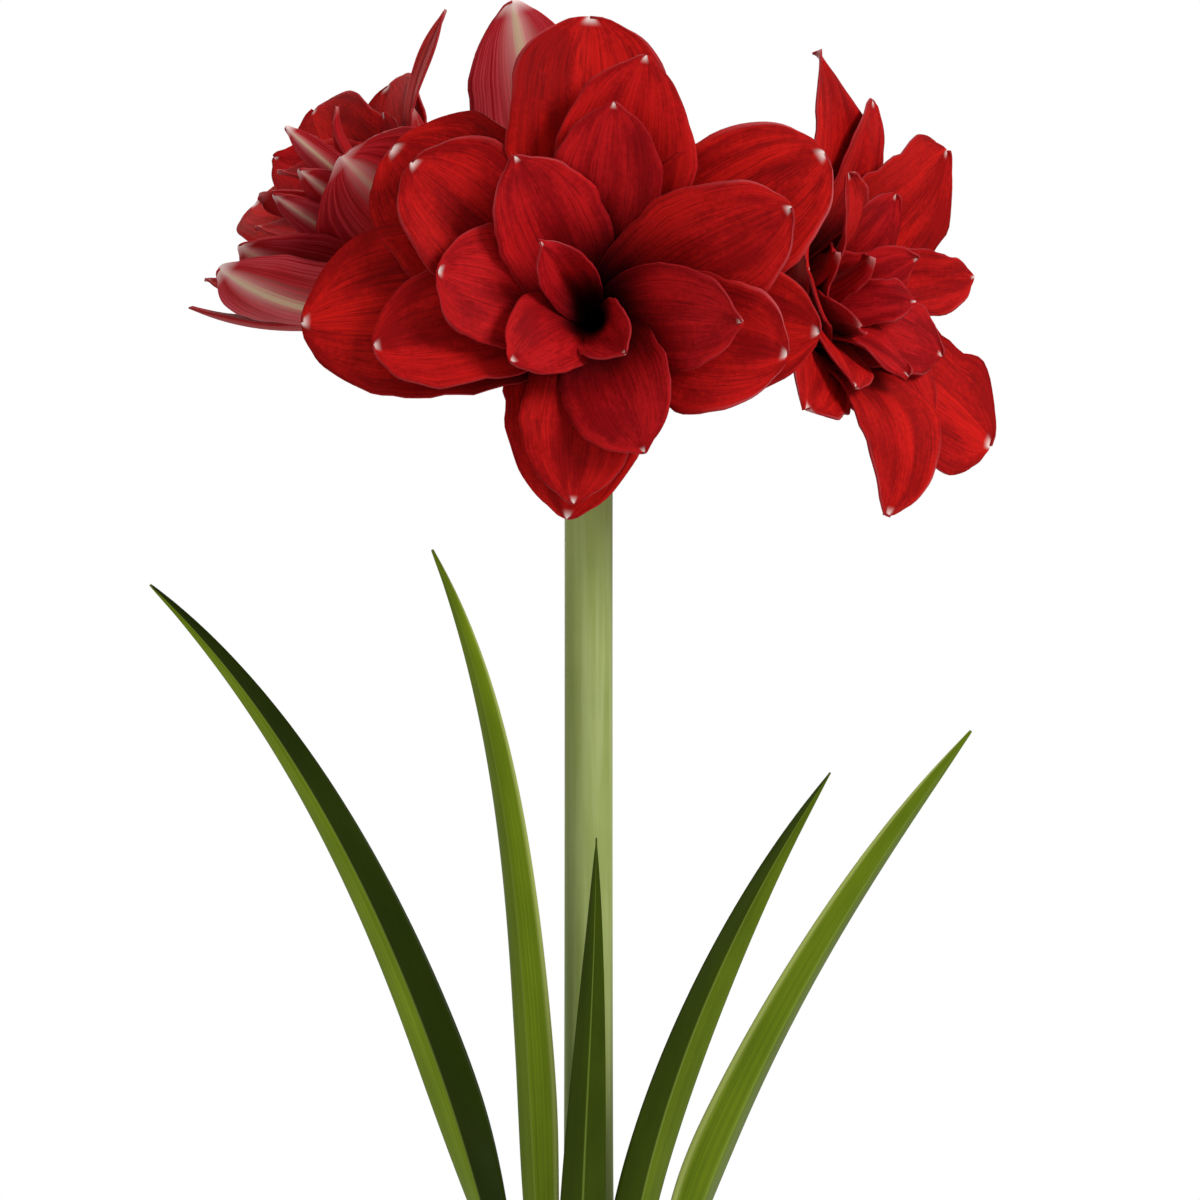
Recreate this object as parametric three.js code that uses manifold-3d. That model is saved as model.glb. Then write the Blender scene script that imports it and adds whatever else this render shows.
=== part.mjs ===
// A potted amaryllis with four double blooms on one scape, five strap leaves, its bulb, soil and pot.
// Millimetres, +Z up. The origin is the centre of the pot's underside.
import * as THREE from 'three';
import { mergeVertices } from 'three/addons/utils/BufferGeometryUtils.js';
import Module from 'manifold-3d';

const wasm = await Module();
wasm.setup();

// Driving dimensions
const gap = 0.3;
const potHeight = 135;
const potTopRadius = 77;
const potFootRadius = 54;
const potWall = 5;
const potFloor = 8;
const potRimHeight = 26;
const potRimStep = 4;
const potRounding = 2;
const drainRadius = 5;
const drainCircle = 26;
const drainCount = 4;
const soilTop = 122;
const soilRounding = 2;
const soilHollowRadius = 47.7;
const bulbRadius = 49;
const bulbFoot = 60;
const bulbShoulder = 150;
const bulbNeckTop = 186;
const bulbNeckRadius = 25;
const bulbSheathDepth = 20;
const bulbSheathRadius = 22.8;
const scapeTop = 606;
const scapeFootRadius = 11;
const scapeTopRadius = 10.6;
const scapeSides = 20;
const pedicelRadius = 3.9;
const ovaryRadius = 6.4;
const pedicelCircle = 6.2;
const pedicelRise = 11;
const pedicelApproach = 22;
const pedicelSides = 10;
const tubeSides = 12;
const drainSides = 16;
const petalThickness = 1.1;
const petalRootShare = 0.2;
const petalRowCrowding = 1.3;
const leafThickness = 2.2;
const leafTipThickness = 0.9;
const leafKeel = 0.45;
const leafTaper = 2.8;
const bractThickness = 0.9;
const roundSides = 28;
const weldDistance = 1e-4;
const flatTolerance = 0.05;

// Radius and height of points on the scape between its foot and its top
const scapeWaist = [[scapeFootRadius, 206], [9.3, 275], [9, 430], [9, 560]];

// Radius and height of points on the tube in which a bloom's petals are joined
const tubeWall = [[ovaryRadius, 0], [8.4, 10], [10.5, 24], [11.5, 31]];

// Rows of faces from root to tip, and columns across, for each kind of blade
const petalRows = 4;
const leafRows = 13;
const leafColumns = 4;
const bractRows = 5;
const bractColumns = 4;

// Each whorl's midrib leaves the perianth tube at a root and ends at the petal's own tip.
// Angles are from the flower's axis, reaches are how far the curve holds each direction.
const whorls = {
  outer: {
    columns: 4, rootRadius: 5, rootRise: 0, rootAngle: 12, rootReach: 50, tipAngle: 100, tipReach: 55
  },
  middle: {
    columns: 4, rootRadius: 4, rootRise: 4, rootAngle: 10, rootReach: 55, tipAngle: 85, tipReach: 40
  },
  inner: {
    columns: 2, rootRadius: 3, rootRise: 6, rootAngle: 8, rootReach: 52, tipAngle: 65, tipReach: 28
  },
  petaloid: {
    columns: 2, rootRadius: 2, rootRise: 8, rootAngle: 6, rootReach: 42, tipAngle: 40, tipReach: 18
  }
};

function petal(whorl, around, reach, rise, width, extra = {}) {
  return { whorl, around, reach, rise, width, cup: 0.4, blunt: 0.55, swing: 0, fold: 0, ...extra };
}

// Petals of each bloom: angle around the axis, reach from it, rise along it and width
const frontPetals = [
  petal('outer', 90, 108, 58, 66, { blunt: 0.42 }),
  petal('outer', 140, 95, 54, 68, { blunt: 0.4 }),
  petal('outer', 176, 105, 60, 72, { blunt: 0.5, swing: 6 }),
  petal('outer', 264, 75, 56, 57, { blunt: 0.55 }),
  petal('outer', 353, 84, 58, 60, { blunt: 0.5, swing: 2 }),
  petal('outer', 36, 103, 60, 60, { blunt: 0.42, swing: -2, fold: 0.12 }),
  petal('middle', 77, 94, 74, 54, { blunt: 0.6, fold: 0.25 }),
  petal('middle', 140, 83, 72, 56, { blunt: 0.42, cup: 0.6 }),
  petal('middle', 187, 78, 76, 50, { blunt: 0.45, cup: 0.8, swing: 3 }),
  petal('middle', 266, 70, 70, 46, { cup: 0.3, blunt: 0.55 }),
  petal('middle', 341, 74, 72, 54, { blunt: 0.45, cup: 0.3, swing: 6 }),
  petal('middle', 26, 82, 76, 52, { blunt: 0.5 }),
  petal('inner', 82, 74, 84, 42, { cup: 0.3, fold: 0.15, blunt: 0.58 }),
  petal('inner', 115, 59, 86, 44, { blunt: 0.6, cup: 0.3 }),
  petal('inner', 166, 54, 84, 46, { blunt: 0.4, cup: 0.2 }),
  petal('inner', 211, 32, 86, 34, { blunt: 0.45, cup: 0.3, swing: 6 }),
  petal('inner', 292, 56, 82, 44, { blunt: 0.6, cup: 0.3 }),
  petal('inner', 358, 56, 84, 41, { blunt: 0.6, swing: -4 }),
  petal('petaloid', 125, 27, 88, 22, { cup: 0.6, fold: 0.3, blunt: 0.7 }),
  petal('petaloid', 310, 21, 84, 28, { cup: 1.2 })
];

const leftPetals = [
  petal('outer', 88, 70, 86, 24, {
    cup: 0.3, rootAngle: 4, rootReach: 72, tipAngle: 68, tipReach: 34
  }),
  petal('outer', 139, 62, 82, 56, { blunt: 0.42, tipAngle: 70 }),
  petal('outer', 166, 78, 96, 44, { blunt: 0.5, tipAngle: 70 }),
  petal('outer', 199, 76, 88, 56, { blunt: 0.4, tipAngle: 70 }),
  petal('outer', 256, 80, 82, 42, { rootAngle: 50, rootReach: 35, tipAngle: 20, tipReach: 35 }),
  petal('outer', 305, 80, 86, 50, {
    cup: 0.7, rootAngle: 50, rootReach: 35, tipAngle: 8, tipReach: 40
  }),
  petal('outer', 355, 52, 80, 66, {
    cup: 0.6, rootAngle: 40, rootReach: 40, tipAngle: 12, tipReach: 30
  }),
  petal('middle', 187, 60, 90, 44, { tipAngle: 60 }),
  petal('middle', 240, 73, 84, 40, { rootAngle: 40, rootReach: 40, tipAngle: 25, tipReach: 30 }),
  petal('middle', 307, 66, 86, 38, {
    cup: 0.7, rootAngle: 40, rootReach: 40, tipAngle: 10, tipReach: 30
  }),
  petal('middle', 323, 50, 89, 18, { cup: 0.7, rootAngle: 35, tipAngle: 8, tipReach: 30 }),
  petal('middle', 338, 46, 88, 20, { cup: 0.7, rootAngle: 35, tipAngle: 8, tipReach: 30 }),
  petal('middle', 347, 33, 102, 13, { cup: 0.6, rootAngle: 25, tipAngle: 5, tipReach: 30 }),
  petal('middle', 62, 36, 70, 36, { rootAngle: 20, tipAngle: 30 }),
  petal('inner', 115, 30, 76, 30, { tipAngle: 40 }),
  petal('inner', 195, 38, 96, 32, { tipAngle: 40 }),
  petal('inner', 246, 40, 84, 30, { tipAngle: 35 }),
  petal('inner', 300, 36, 92, 28, { tipAngle: 25 }),
  petal('petaloid', 80, 14, 92, 26, { cup: 0.9 }),
  petal('petaloid', 240, 18, 92, 26, { cup: 1.2 })
];

const rightPetals = [
  petal('outer', 95, 91, 77, 52, { blunt: 0.65, swing: 3 }),
  petal('outer', 34, 93, 82, 62, { blunt: 0.62, swing: 4, tipAngle: 80 }),
  petal('outer', 319, 88, 88, 60, { blunt: 0.4, tipAngle: 75 }),
  petal('outer', 270, 84, 80, 42, { blunt: 0.4, swing: -4, tipAngle: 115 }),
  petal('outer', 222, 66, 74, 54, { tipAngle: 85 }),
  petal('outer', 142, 66, 74, 54, { tipAngle: 85 }),
  petal('middle', 73, 77, 78, 46, { blunt: 0.5 }),
  petal('middle', 6, 80, 84, 30, { cup: 0.9, blunt: 0.6, tipAngle: 80 }),
  petal('middle', 300, 61, 83, 44, { tipAngle: 75 }),
  petal('middle', 235, 45, 82, 36, { tipAngle: 65 }),
  petal('middle', 172, 46, 80, 38, { tipAngle: 65 }),
  petal('middle', 112, 45, 86, 34, { cup: 0.5, tipAngle: 75 }),
  petal('inner', 60, 42, 84, 34, { tipAngle: 65 }),
  petal('inner', 25, 30, 86, 28, { tipAngle: 60 }),
  petal('inner', 330, 46, 86, 36, { tipAngle: 70 }),
  petal('inner', 275, 32, 90, 28, { tipAngle: 45 }),
  petal('inner', 215, 26, 84, 26, { tipAngle: 45 }),
  petal('inner', 150, 26, 80, 26, { tipAngle: 45 }),
  petal('petaloid', 350, 22, 86, 22, { cup: 0.9 }),
  petal('petaloid', 130, 14, 86, 20, { cup: 0.8 })
];

const backPetals = [
  petal('outer', 76, 104, 66, 52, { tipAngle: 75 }),
  petal('outer', 138, 66, 58, 60),
  petal('outer', 184, 90, 60, 62),
  petal('outer', 243, 88, 60, 58),
  petal('outer', 302, 74, 60, 60),
  petal('outer', 8, 72, 60, 56),
  petal('middle', 105, 76, 76, 50),
  petal('middle', 160, 74, 76, 50, { cup: 0.5 }),
  petal('middle', 213, 76, 76, 50),
  petal('middle', 272, 72, 76, 48),
  petal('middle', 335, 76, 76, 50),
  petal('middle', 42, 66, 76, 48),
  petal('inner', 72, 58, 86, 38),
  petal('inner', 130, 56, 86, 38),
  petal('inner', 188, 54, 86, 38),
  petal('inner', 245, 52, 86, 36),
  petal('inner', 302, 54, 86, 36),
  petal('inner', 10, 56, 86, 38),
  petal('petaloid', 70, 24, 86, 24, { cup: 0.9 }),
  petal('petaloid', 250, 20, 86, 26, { cup: 1.2 })
];

// Each bloom's foot on its ovary, the way it faces, where its pedicel stands on the scape, and how
// far its petals are turned round their midribs, to lap over their neighbours
const blooms = {
  front: { foot: [4, -38, 612], facing: [-0.06, -0.99, 0.04], stand: 270, lap: 8, petals: frontPetals },
  left: { foot: [-38, 3, 624], facing: [-0.74, -0.12, 0.66], stand: 180, lap: 0, petals: leftPetals },
  right: { foot: [38, -6, 614], facing: [0.85, -0.5, 0.13], stand: 0, lap: 8, petals: rightPetals },
  back: { foot: [-4, 34, 620], facing: [-0.15, 0.85, 0.5], stand: 90, lap: 0, petals: backPetals }
};

// Leaves: angle and radius in the bulb's sheath, the blade's width, two points that bend the
// midrib, the tip, how far the blade rolls round its midrib, and the share of its length by then
const leaves = {
  farLeft: {
    around: 170, radius: 16.6, width: 25,
    bend: [[-37, 8, 285], [-83, 26, 432]], tip: [-172, 45, 514], roll: 70, rollEnd: 0.45
  },
  left: {
    around: 215, radius: 13, width: 21,
    bend: [[-27, -14, 290], [-15, -26, 430]], tip: [-59, -45, 527], roll: 16, rollEnd: 0.5
  },
  front: {
    around: 270, radius: 16.6, width: 21, taper: 2,
    bend: [[-8, -31, 250], [2.5, -39, 330]], tip: [3, -42, 418], roll: 0, rollEnd: 0.5
  },
  right: {
    around: 325, radius: 13, width: 20,
    bend: [[4, -13, 262], [38, -30, 362]], tip: [91, -55, 443], roll: -58, rollEnd: 0.8
  },
  farRight: {
    around: 10, radius: 16.6, width: 29,
    bend: [[25, 6, 262], [83, 16, 372]], tip: [149, 30, 457], roll: -49, rollEnd: 0.45
  }
};

const bracts = {
  left: { around: 150, length: 52, width: 17 },
  right: { around: 30, length: 38, width: 15 }
};

// Colours as they look, with how rough each surface is
const materials = {
  terracotta: new THREE.MeshStandardMaterial({ color: 0xb4694a, roughness: 0.85, metalness: 0 }),
  compost: new THREE.MeshStandardMaterial({ color: 0x33241a, roughness: 1, metalness: 0 }),
  bulbSkin: new THREE.MeshStandardMaterial({ color: 0x8a5a33, roughness: 0.6, metalness: 0 }),
  scapeGreen: new THREE.MeshStandardMaterial({ color: 0x7f9a5c, roughness: 0.5, metalness: 0 }),
  leafGreen: new THREE.MeshStandardMaterial({ color: 0x4c7022, roughness: 0.4, metalness: 0 }),
  pedicelGreen: new THREE.MeshStandardMaterial({ color: 0x7d9350, roughness: 0.5, metalness: 0 }),
  petalRed: new THREE.MeshStandardMaterial({ color: 0xa90f14, roughness: 0.6, metalness: 0 }),
  bractPaper: new THREE.MeshStandardMaterial({ color: 0xb99a72, roughness: 0.8, metalness: 0 })
};

function turned(profile, sides = roundSides) {
  const points = profile.map(([radius, height]) => new THREE.Vector2(radius, height));
  return new THREE.LatheGeometry(points, sides).rotateX(Math.PI / 2);
}

// Welds a geometry's shared corners, so that only its shape is left
function welded(geometry) {
  geometry.deleteAttribute('normal');
  geometry.deleteAttribute('uv');
  return mergeVertices(geometry, weldDistance);
}

function solidOf(geometry) {
  const shape = welded(geometry);
  const vertProperties = Float32Array.from(shape.attributes.position.array);
  const triVerts = Uint32Array.from(shape.index.array);
  return new wasm.Manifold(new wasm.Mesh({ numProp: 3, vertProperties, triVerts }));
}

function geometryOf(solid) {
  const mesh = solid.getMesh();
  const geometry = new THREE.BufferGeometry();
  geometry.setAttribute('position', new THREE.BufferAttribute(mesh.vertProperties, 3));
  geometry.setIndex(new THREE.BufferAttribute(mesh.triVerts, 1));
  geometry.computeVertexNormals();
  return geometry;
}

// A thin blade: two alike grids either side of the middle surface, closed by a rim.
// The rows hold the middle surface's points, and the last row is one point, the tip.
function bladeGeometry(rows, thicknessAt) {
  const tip = rows.at(-1)[0];
  const grid = rows.slice(0, -1);
  const columns = grid[0].length;
  const pointAt = (i, j) => (i >= grid.length ? tip : grid[i][j]);
  const normalAt = (i, j) => {
    const across = pointAt(i, Math.min(j + 1, columns - 1)).clone();
    across.sub(pointAt(i, Math.max(j - 1, 0)));
    const along = pointAt(i + 1, j).clone().sub(pointAt(Math.max(i - 1, 0), j));
    return across.cross(along).normalize();
  };
  const front = [];
  const back = [];
  const addPair = (point, normal, thickness) => {
    front.push(point.clone().addScaledVector(normal, thickness / 2));
    back.push(point.clone().addScaledVector(normal, -thickness / 2));
  };
  grid.forEach((row, i) => {
    row.forEach((point, j) => addPair(point, normalAt(i, j), thicknessAt(i / grid.length)));
  });
  const middle = Math.floor(columns / 2);
  addPair(tip, normalAt(grid.length - 1, middle), thicknessAt(1));
  const tipIndex = front.length - 1;
  const indexAt = (i, j) => (i >= grid.length ? tipIndex : i * columns + j);

  const faces = [];
  const addBoth = (a, b, c) => {
    faces.push([a, b, c]);
    faces.push([a + front.length, c + front.length, b + front.length]);
  };
  for (let i = 0; i < grid.length; i++) {
    for (let j = 0; j < columns - 1; j++) {
      addBoth(indexAt(i, j), indexAt(i, j + 1), indexAt(i + 1, j + 1));
      if (i < grid.length - 1) {
        addBoth(indexAt(i, j), indexAt(i + 1, j + 1), indexAt(i + 1, j));
      }
    }
  }
  const rim = [];
  for (let j = 0; j < columns; j++) rim.push(indexAt(0, j));
  for (let i = 1; i < grid.length; i++) rim.push(indexAt(i, columns - 1));
  rim.push(tipIndex);
  for (let i = grid.length - 1; i > 0; i--) rim.push(indexAt(i, 0));
  rim.forEach((from, k) => {
    const to = rim[(k + 1) % rim.length];
    faces.push([from, from + front.length, to + front.length]);
    faces.push([from, to + front.length, to]);
  });

  const geometry = new THREE.BufferGeometry();
  geometry.setFromPoints([...front, ...back]);
  geometry.setIndex(faces.flat());
  geometry.computeVertexNormals();
  return geometry;
}

// Half of a petal's width at a share of its length, as a part of its widest half
function petalOutline(share, blunt) {
  const taper = 1.05;
  const widest = taper / (taper + blunt);
  const body = share ** taper * (1 - share) ** blunt;
  const most = widest ** taper * (1 - widest) ** blunt;
  const claw = 0.18 * (1 - share) ** 2;
  return (body / most) * (0.9 + 0.1 * share) + claw;
}

// The midrib of a petal, in the plane of the flower's axis: x is out from it, y is along it
function petalMidrib(form) {
  const whorl = { ...whorls[form.whorl], ...form };
  const rootAngle = THREE.MathUtils.degToRad(whorl.rootAngle);
  const tipAngle = THREE.MathUtils.degToRad(whorl.tipAngle);
  const root = new THREE.Vector2(whorl.rootRadius, whorl.rootRise);
  const tip = new THREE.Vector2(whorl.reach, whorl.rise);
  const rootWay = new THREE.Vector2(Math.sin(rootAngle), Math.cos(rootAngle));
  const tipWay = new THREE.Vector2(Math.sin(tipAngle), Math.cos(tipAngle));
  const rootBend = root.clone().addScaledVector(rootWay, whorl.rootReach);
  const tipBend = tip.clone().addScaledVector(tipWay, -whorl.tipReach);
  return new THREE.CubicBezierCurve(root, rootBend, tipBend, tip);
}

function petalRow(form, lap, midrib, share) {
  const columns = whorls[form.whorl].columns;
  const point = midrib.getPoint(share);
  const way = midrib.getTangent(share);
  const angle = THREE.MathUtils.degToRad(form.around + form.swing * share ** 2);
  const outward = new THREE.Vector3(Math.cos(angle), Math.sin(angle), 0);
  const sideways = new THREE.Vector3(-Math.sin(angle), Math.cos(angle), 0);
  const inward = outward.clone().multiplyScalar(-way.y);
  inward.z = way.x;
  const midribWay = outward.clone().multiplyScalar(way.x);
  midribWay.z = way.y;
  sideways.applyAxisAngle(midribWay, THREE.MathUtils.degToRad(lap));
  inward.applyAxisAngle(midribWay, THREE.MathUtils.degToRad(lap));
  const half = (petalOutline(share, form.blunt) * form.width) / 2;
  const tubeBend = (1 - share) ** 2 / Math.max(point.x, 6);
  const bend = (form.cup / (form.width / 2)) * (1 - 0.3 * share) + tubeBend;
  const row = [];
  for (let j = 0; j <= columns; j++) {
    const side = (2 * j) / columns - 1;
    const turn = bend * side * half;
    const across = bend > 1e-6 ? Math.sin(turn) / bend : side * half;
    const curl = bend > 1e-6 ? (1 - Math.cos(turn)) / bend : 0;
    const foldRise = Math.sin(Math.PI * Math.min(1, 1.1 * share));
    const crease = form.fold * half * (Math.abs(side) - 0.5) * foldRise;
    const spot = outward.clone().multiplyScalar(point.x);
    spot.z = point.y;
    spot.addScaledVector(sideways, across);
    spot.addScaledVector(inward, curl + crease);
    row.push(spot);
  }
  return row;
}

function petalGeometry(form, lap) {
  const midrib = petalMidrib(form);
  const rows = [];
  for (let i = 0; i < petalRows; i++) {
    const share = 1 - (1 - petalRootShare) * (1 - i / petalRows) ** petalRowCrowding;
    rows.push(petalRow(form, lap, midrib, share));
  }
  const tip = midrib.getPoint(1);
  const angle = THREE.MathUtils.degToRad(form.around + form.swing);
  rows.push([new THREE.Vector3(tip.x * Math.cos(angle), tip.x * Math.sin(angle), tip.y)]);
  return bladeGeometry(rows, () => petalThickness);
}

function perianthTube() {
  const [, tubeTop] = tubeWall.at(-1);
  return turned([[0, 0], ...tubeWall, [0, tubeTop]], tubeSides);
}

// All petals and the tube as one body: small hollows shut in between petals are left filled
function bloomGeometry({ petals, lap }) {
  const pieces = [perianthTube(), ...petals.map((form) => petalGeometry(form, lap))];
  const shells = wasm.Manifold.union(pieces.map(solidOf)).decompose();
  shells.sort((a, b) => b.volume() - a.volume());
  return geometryOf(shells[0].simplify(flatTolerance));
}

// Turns a piece built round +Z to face a direction, with its second axis as far up as it goes
function facingMatrix(facing) {
  const forward = new THREE.Vector3(...facing).normalize();
  const right = new THREE.Vector3(0, 0, 1).cross(forward).normalize();
  const up = forward.clone().cross(right);
  return new THREE.Matrix4().makeBasis(right, up, forward);
}

// Bends a turned shape along a curve: its height runs along the curve's length
function bentAlong(geometry, curve, length) {
  const steps = 40;
  const frames = curve.computeFrenetFrames(steps, false);
  const position = geometry.attributes.position;
  for (let k = 0; k < position.count; k++) {
    const share = position.getZ(k) / length;
    const step = Math.round(THREE.MathUtils.clamp(share, 0, 1) * steps);
    const spot = curve.getPointAt(step / steps);
    spot.addScaledVector(frames.normals[step], position.getX(k));
    spot.addScaledVector(frames.binormals[step], position.getY(k));
    position.setXYZ(k, spot.x, spot.y, spot.z);
  }
  return geometry;
}

// A stalk from the scape's top to the foot of a bloom, swollen into the ovary below the bloom
function pedicelGeometry(bloom) {
  const angle = THREE.MathUtils.degToRad(bloom.stand);
  const root = new THREE.Vector3(Math.cos(angle), Math.sin(angle), 0).multiplyScalar(pedicelCircle);
  root.z = scapeTop + gap;
  const facing = new THREE.Vector3(...bloom.facing).normalize();
  const foot = new THREE.Vector3(...bloom.foot).addScaledVector(facing, -gap);
  const rise = root.clone().add(new THREE.Vector3(0, 0, pedicelRise));
  const approach = foot.clone().addScaledVector(facing, -pedicelApproach);
  const curve = new THREE.CubicBezierCurve3(root, rise, approach, foot);
  const length = curve.getLength();
  const profile = [
    [0, 0],
    [pedicelRadius, 0],
    [pedicelRadius, length * 0.2],
    [pedicelRadius, length * 0.4],
    [pedicelRadius * 1.1, length * 0.55],
    [ovaryRadius, length * 0.7],
    [ovaryRadius * 1.04, length * 0.85],
    [ovaryRadius * 0.9, length],
    [0, length]
  ];
  return bentAlong(turned(profile, pedicelSides), curve, length);
}

// Half of a leaf's width at a share of its length, as a part of its widest half
function leafOutline(share, taper = leafTaper) {
  const rootPart = 0.55 + 0.45 * THREE.MathUtils.smoothstep(share, 0, 0.4);
  return rootPart * (1 - share ** taper) ** 0.9;
}

// A strap leaf: it wraps round the scape at its root and opens to a shallow keel above
function leafGeometry(form) {
  const around = THREE.MathUtils.degToRad(form.around);
  const outward = new THREE.Vector3(Math.cos(around), Math.sin(around), 0);
  const root = outward.clone().multiplyScalar(form.radius);
  root.z = bulbNeckTop - bulbSheathDepth + 3 * gap;
  const bends = form.bend.map((point) => new THREE.Vector3(...point));
  const midrib = new THREE.CubicBezierCurve3(root, ...bends, new THREE.Vector3(...form.tip));
  const rows = [];
  for (let i = 0; i < leafRows; i++) {
    const share = i / leafRows;
    const point = midrib.getPoint(share);
    const way = midrib.getTangent(share);
    const rolled = THREE.MathUtils.smoothstep(share, 0, form.rollEnd);
    const roll = THREE.MathUtils.degToRad(form.roll * rolled);
    const side = way.clone().cross(outward).normalize().applyAxisAngle(way, roll);
    const inner = way.clone().cross(side).normalize();
    const half = (leafOutline(share, form.taper) * form.width) / 2;
    const wrap = (1 - THREE.MathUtils.smoothstep(share, 0, 0.35)) / form.radius;
    const keel = leafKeel * THREE.MathUtils.smoothstep(share, 0.1, 0.45);
    const row = [];
    for (let j = 0; j <= leafColumns; j++) {
      const place = ((2 * j) / leafColumns - 1) * half;
      const turn = wrap * place;
      const across = wrap > 1e-6 ? Math.sin(turn) / wrap : place;
      const curl = wrap > 1e-6 ? (1 - Math.cos(turn)) / wrap : 0;
      const spot = point.clone().addScaledVector(side, across);
      row.push(spot.addScaledVector(inner, curl + keel * Math.abs(place)));
    }
    rows.push(row);
  }
  rows.push([midrib.getPoint(1)]);
  return bladeGeometry(rows, (share) => THREE.MathUtils.lerp(leafThickness, leafTipThickness, share));
}

// A withered bract of the bud's sheath, hanging from the top of the scape
function bractGeometry(form) {
  const around = THREE.MathUtils.degToRad(form.around);
  const outward = new THREE.Vector3(Math.cos(around), Math.sin(around), 0);
  const sideways = new THREE.Vector3(-Math.sin(around), Math.cos(around), 0);
  const at = (out, height) => outward.clone().multiplyScalar(out).setZ(height);
  const hugging = scapeTopRadius + gap + bractThickness;
  const midrib = new THREE.CubicBezierCurve3(
    at(hugging, scapeTop - 4),
    at(hugging + 1, scapeTop - 16),
    at(hugging + 12, scapeTop - 20),
    at(hugging + 9, scapeTop - form.length)
  );
  const rows = [];
  for (let i = 0; i < bractRows; i++) {
    const share = i / bractRows;
    const point = midrib.getPoint(share);
    const half = (form.width / 2) * (1 - share ** 1.8) ** 0.8;
    const wrap = 1 / (hugging + 14 * share);
    const row = [];
    for (let j = 0; j <= bractColumns; j++) {
      const turn = ((2 * j) / bractColumns - 1) * half * wrap;
      const spot = point.clone().addScaledVector(sideways, Math.sin(turn) / wrap);
      row.push(spot.addScaledVector(outward, (Math.cos(turn) - 1) / wrap));
    }
    rows.push(row);
  }
  rows.push([midrib.getPoint(1)]);
  return bladeGeometry(rows, () => bractThickness);
}

// The pot's outer radius at a height below its rim band
const potRimFoot = potHeight - potRimHeight;
function potRadiusAt(height) {
  return THREE.MathUtils.mapLinear(height, 0, potRimFoot, potFootRadius, potTopRadius - potRimStep);
}

function potGeometry() {
  const innerTop = potTopRadius - potWall;
  const outline = [
    [0, 0],
    [potFootRadius - potRounding, 0],
    [potFootRadius, potRounding],
    [potRadiusAt(potRimFoot), potRimFoot],
    [potTopRadius, potRimFoot + potRounding],
    [potTopRadius, potHeight - potRounding],
    [potTopRadius - potRounding, potHeight],
    [innerTop, potHeight],
    [innerTop - potRounding / 2, potHeight - potRounding],
    [potRadiusAt(potRimFoot) - potWall, potRimFoot],
    [potRadiusAt(potFloor) - potWall, potFloor],
    [0, potFloor]
  ];
  let solid = solidOf(turned(outline));
  for (let k = 0; k < drainCount; k++) {
    const angle = ((k + 0.5) / drainCount) * 2 * Math.PI;
    const drain = new THREE.CylinderGeometry(drainRadius, drainRadius, 3 * potFloor, drainSides);
    drain.rotateX(Math.PI / 2);
    drain.translate(drainCircle * Math.cos(angle), drainCircle * Math.sin(angle), 0);
    solid = solid.subtract(solidOf(drain));
  }
  return geometryOf(solid);
}

// The bulb's outside, from its foot up to the rim of the sheath round the leaves
function bulbOutline(offset) {
  return [
    [0, bulbFoot - offset],
    [20 + offset, bulbFoot - offset],
    [37 + offset, bulbFoot + 12],
    [46 + offset, bulbFoot + 29],
    [bulbRadius + offset, bulbFoot + 48],
    [46 + offset, bulbShoulder - 25],
    [38 + offset, bulbShoulder - 11],
    [30 + offset, bulbShoulder + 2],
    [bulbNeckRadius + 1.5 + offset, bulbShoulder + 16]
  ];
}

function bulbGeometry() {
  const sheathFloor = bulbNeckTop - bulbSheathDepth;
  return turned([
    ...bulbOutline(0),
    [bulbNeckRadius, bulbNeckTop - 2],
    [bulbNeckRadius - 0.8, bulbNeckTop],
    [bulbSheathRadius + 0.4, bulbNeckTop],
    [bulbSheathRadius, sheathFloor],
    [0, sheathFloor]
  ]);
}

function soilGeometry() {
  const wallAt = (height) => potRadiusAt(height) - potWall - gap;
  const hollow = bulbOutline(1.5 * gap).filter(([, height]) => height < soilTop).reverse();
  return turned([
    [0, potFloor + gap],
    [wallAt(potFloor), potFloor + gap],
    [wallAt(potRimFoot), potRimFoot],
    [wallAt(potRimFoot), soilTop - soilRounding],
    [wallAt(potRimFoot) - soilRounding, soilTop],
    [soilHollowRadius, soilTop],
    ...hollow
  ]);
}

function scapeGeometry() {
  const foot = bulbNeckTop - bulbSheathDepth + gap;
  return turned([
    [0, foot],
    [scapeFootRadius, foot],
    ...scapeWaist,
    [scapeTopRadius, scapeTop - 12],
    [scapeTopRadius, scapeTop],
    [0, scapeTop]
  ], scapeSides);
}

const plant = new THREE.Group();

function add(name, geometry, material) {
  const mesh = new THREE.Mesh(geometry, material);
  mesh.name = name;
  plant.add(mesh);
  return mesh;
}

add('pot', potGeometry(), materials.terracotta);
add('soil', soilGeometry(), materials.compost);
add('bulb', bulbGeometry(), materials.bulbSkin);
add('scape', scapeGeometry(), materials.scapeGreen);
for (const [place, form] of Object.entries(leaves)) {
  const name = place.replace(/([A-Z])/g, '_$1').toLowerCase();
  add(`leaf_${name}`, leafGeometry(form), materials.leafGreen);
}
for (const [place, form] of Object.entries(bracts)) {
  add(`bract_${place}`, bractGeometry(form), materials.bractPaper);
}
for (const [place, bloom] of Object.entries(blooms)) {
  add(`pedicel_${place}`, pedicelGeometry(bloom), materials.pedicelGreen);
  const flower = add(`bloom_${place}`, bloomGeometry(bloom), materials.petalRed);
  flower.quaternion.setFromRotationMatrix(facingMatrix(bloom.facing));
  flower.position.set(...bloom.foot);
}

export default plant;
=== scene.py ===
import math
import random

import bmesh
import bpy
from mathutils import Matrix, Vector, noise


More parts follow.
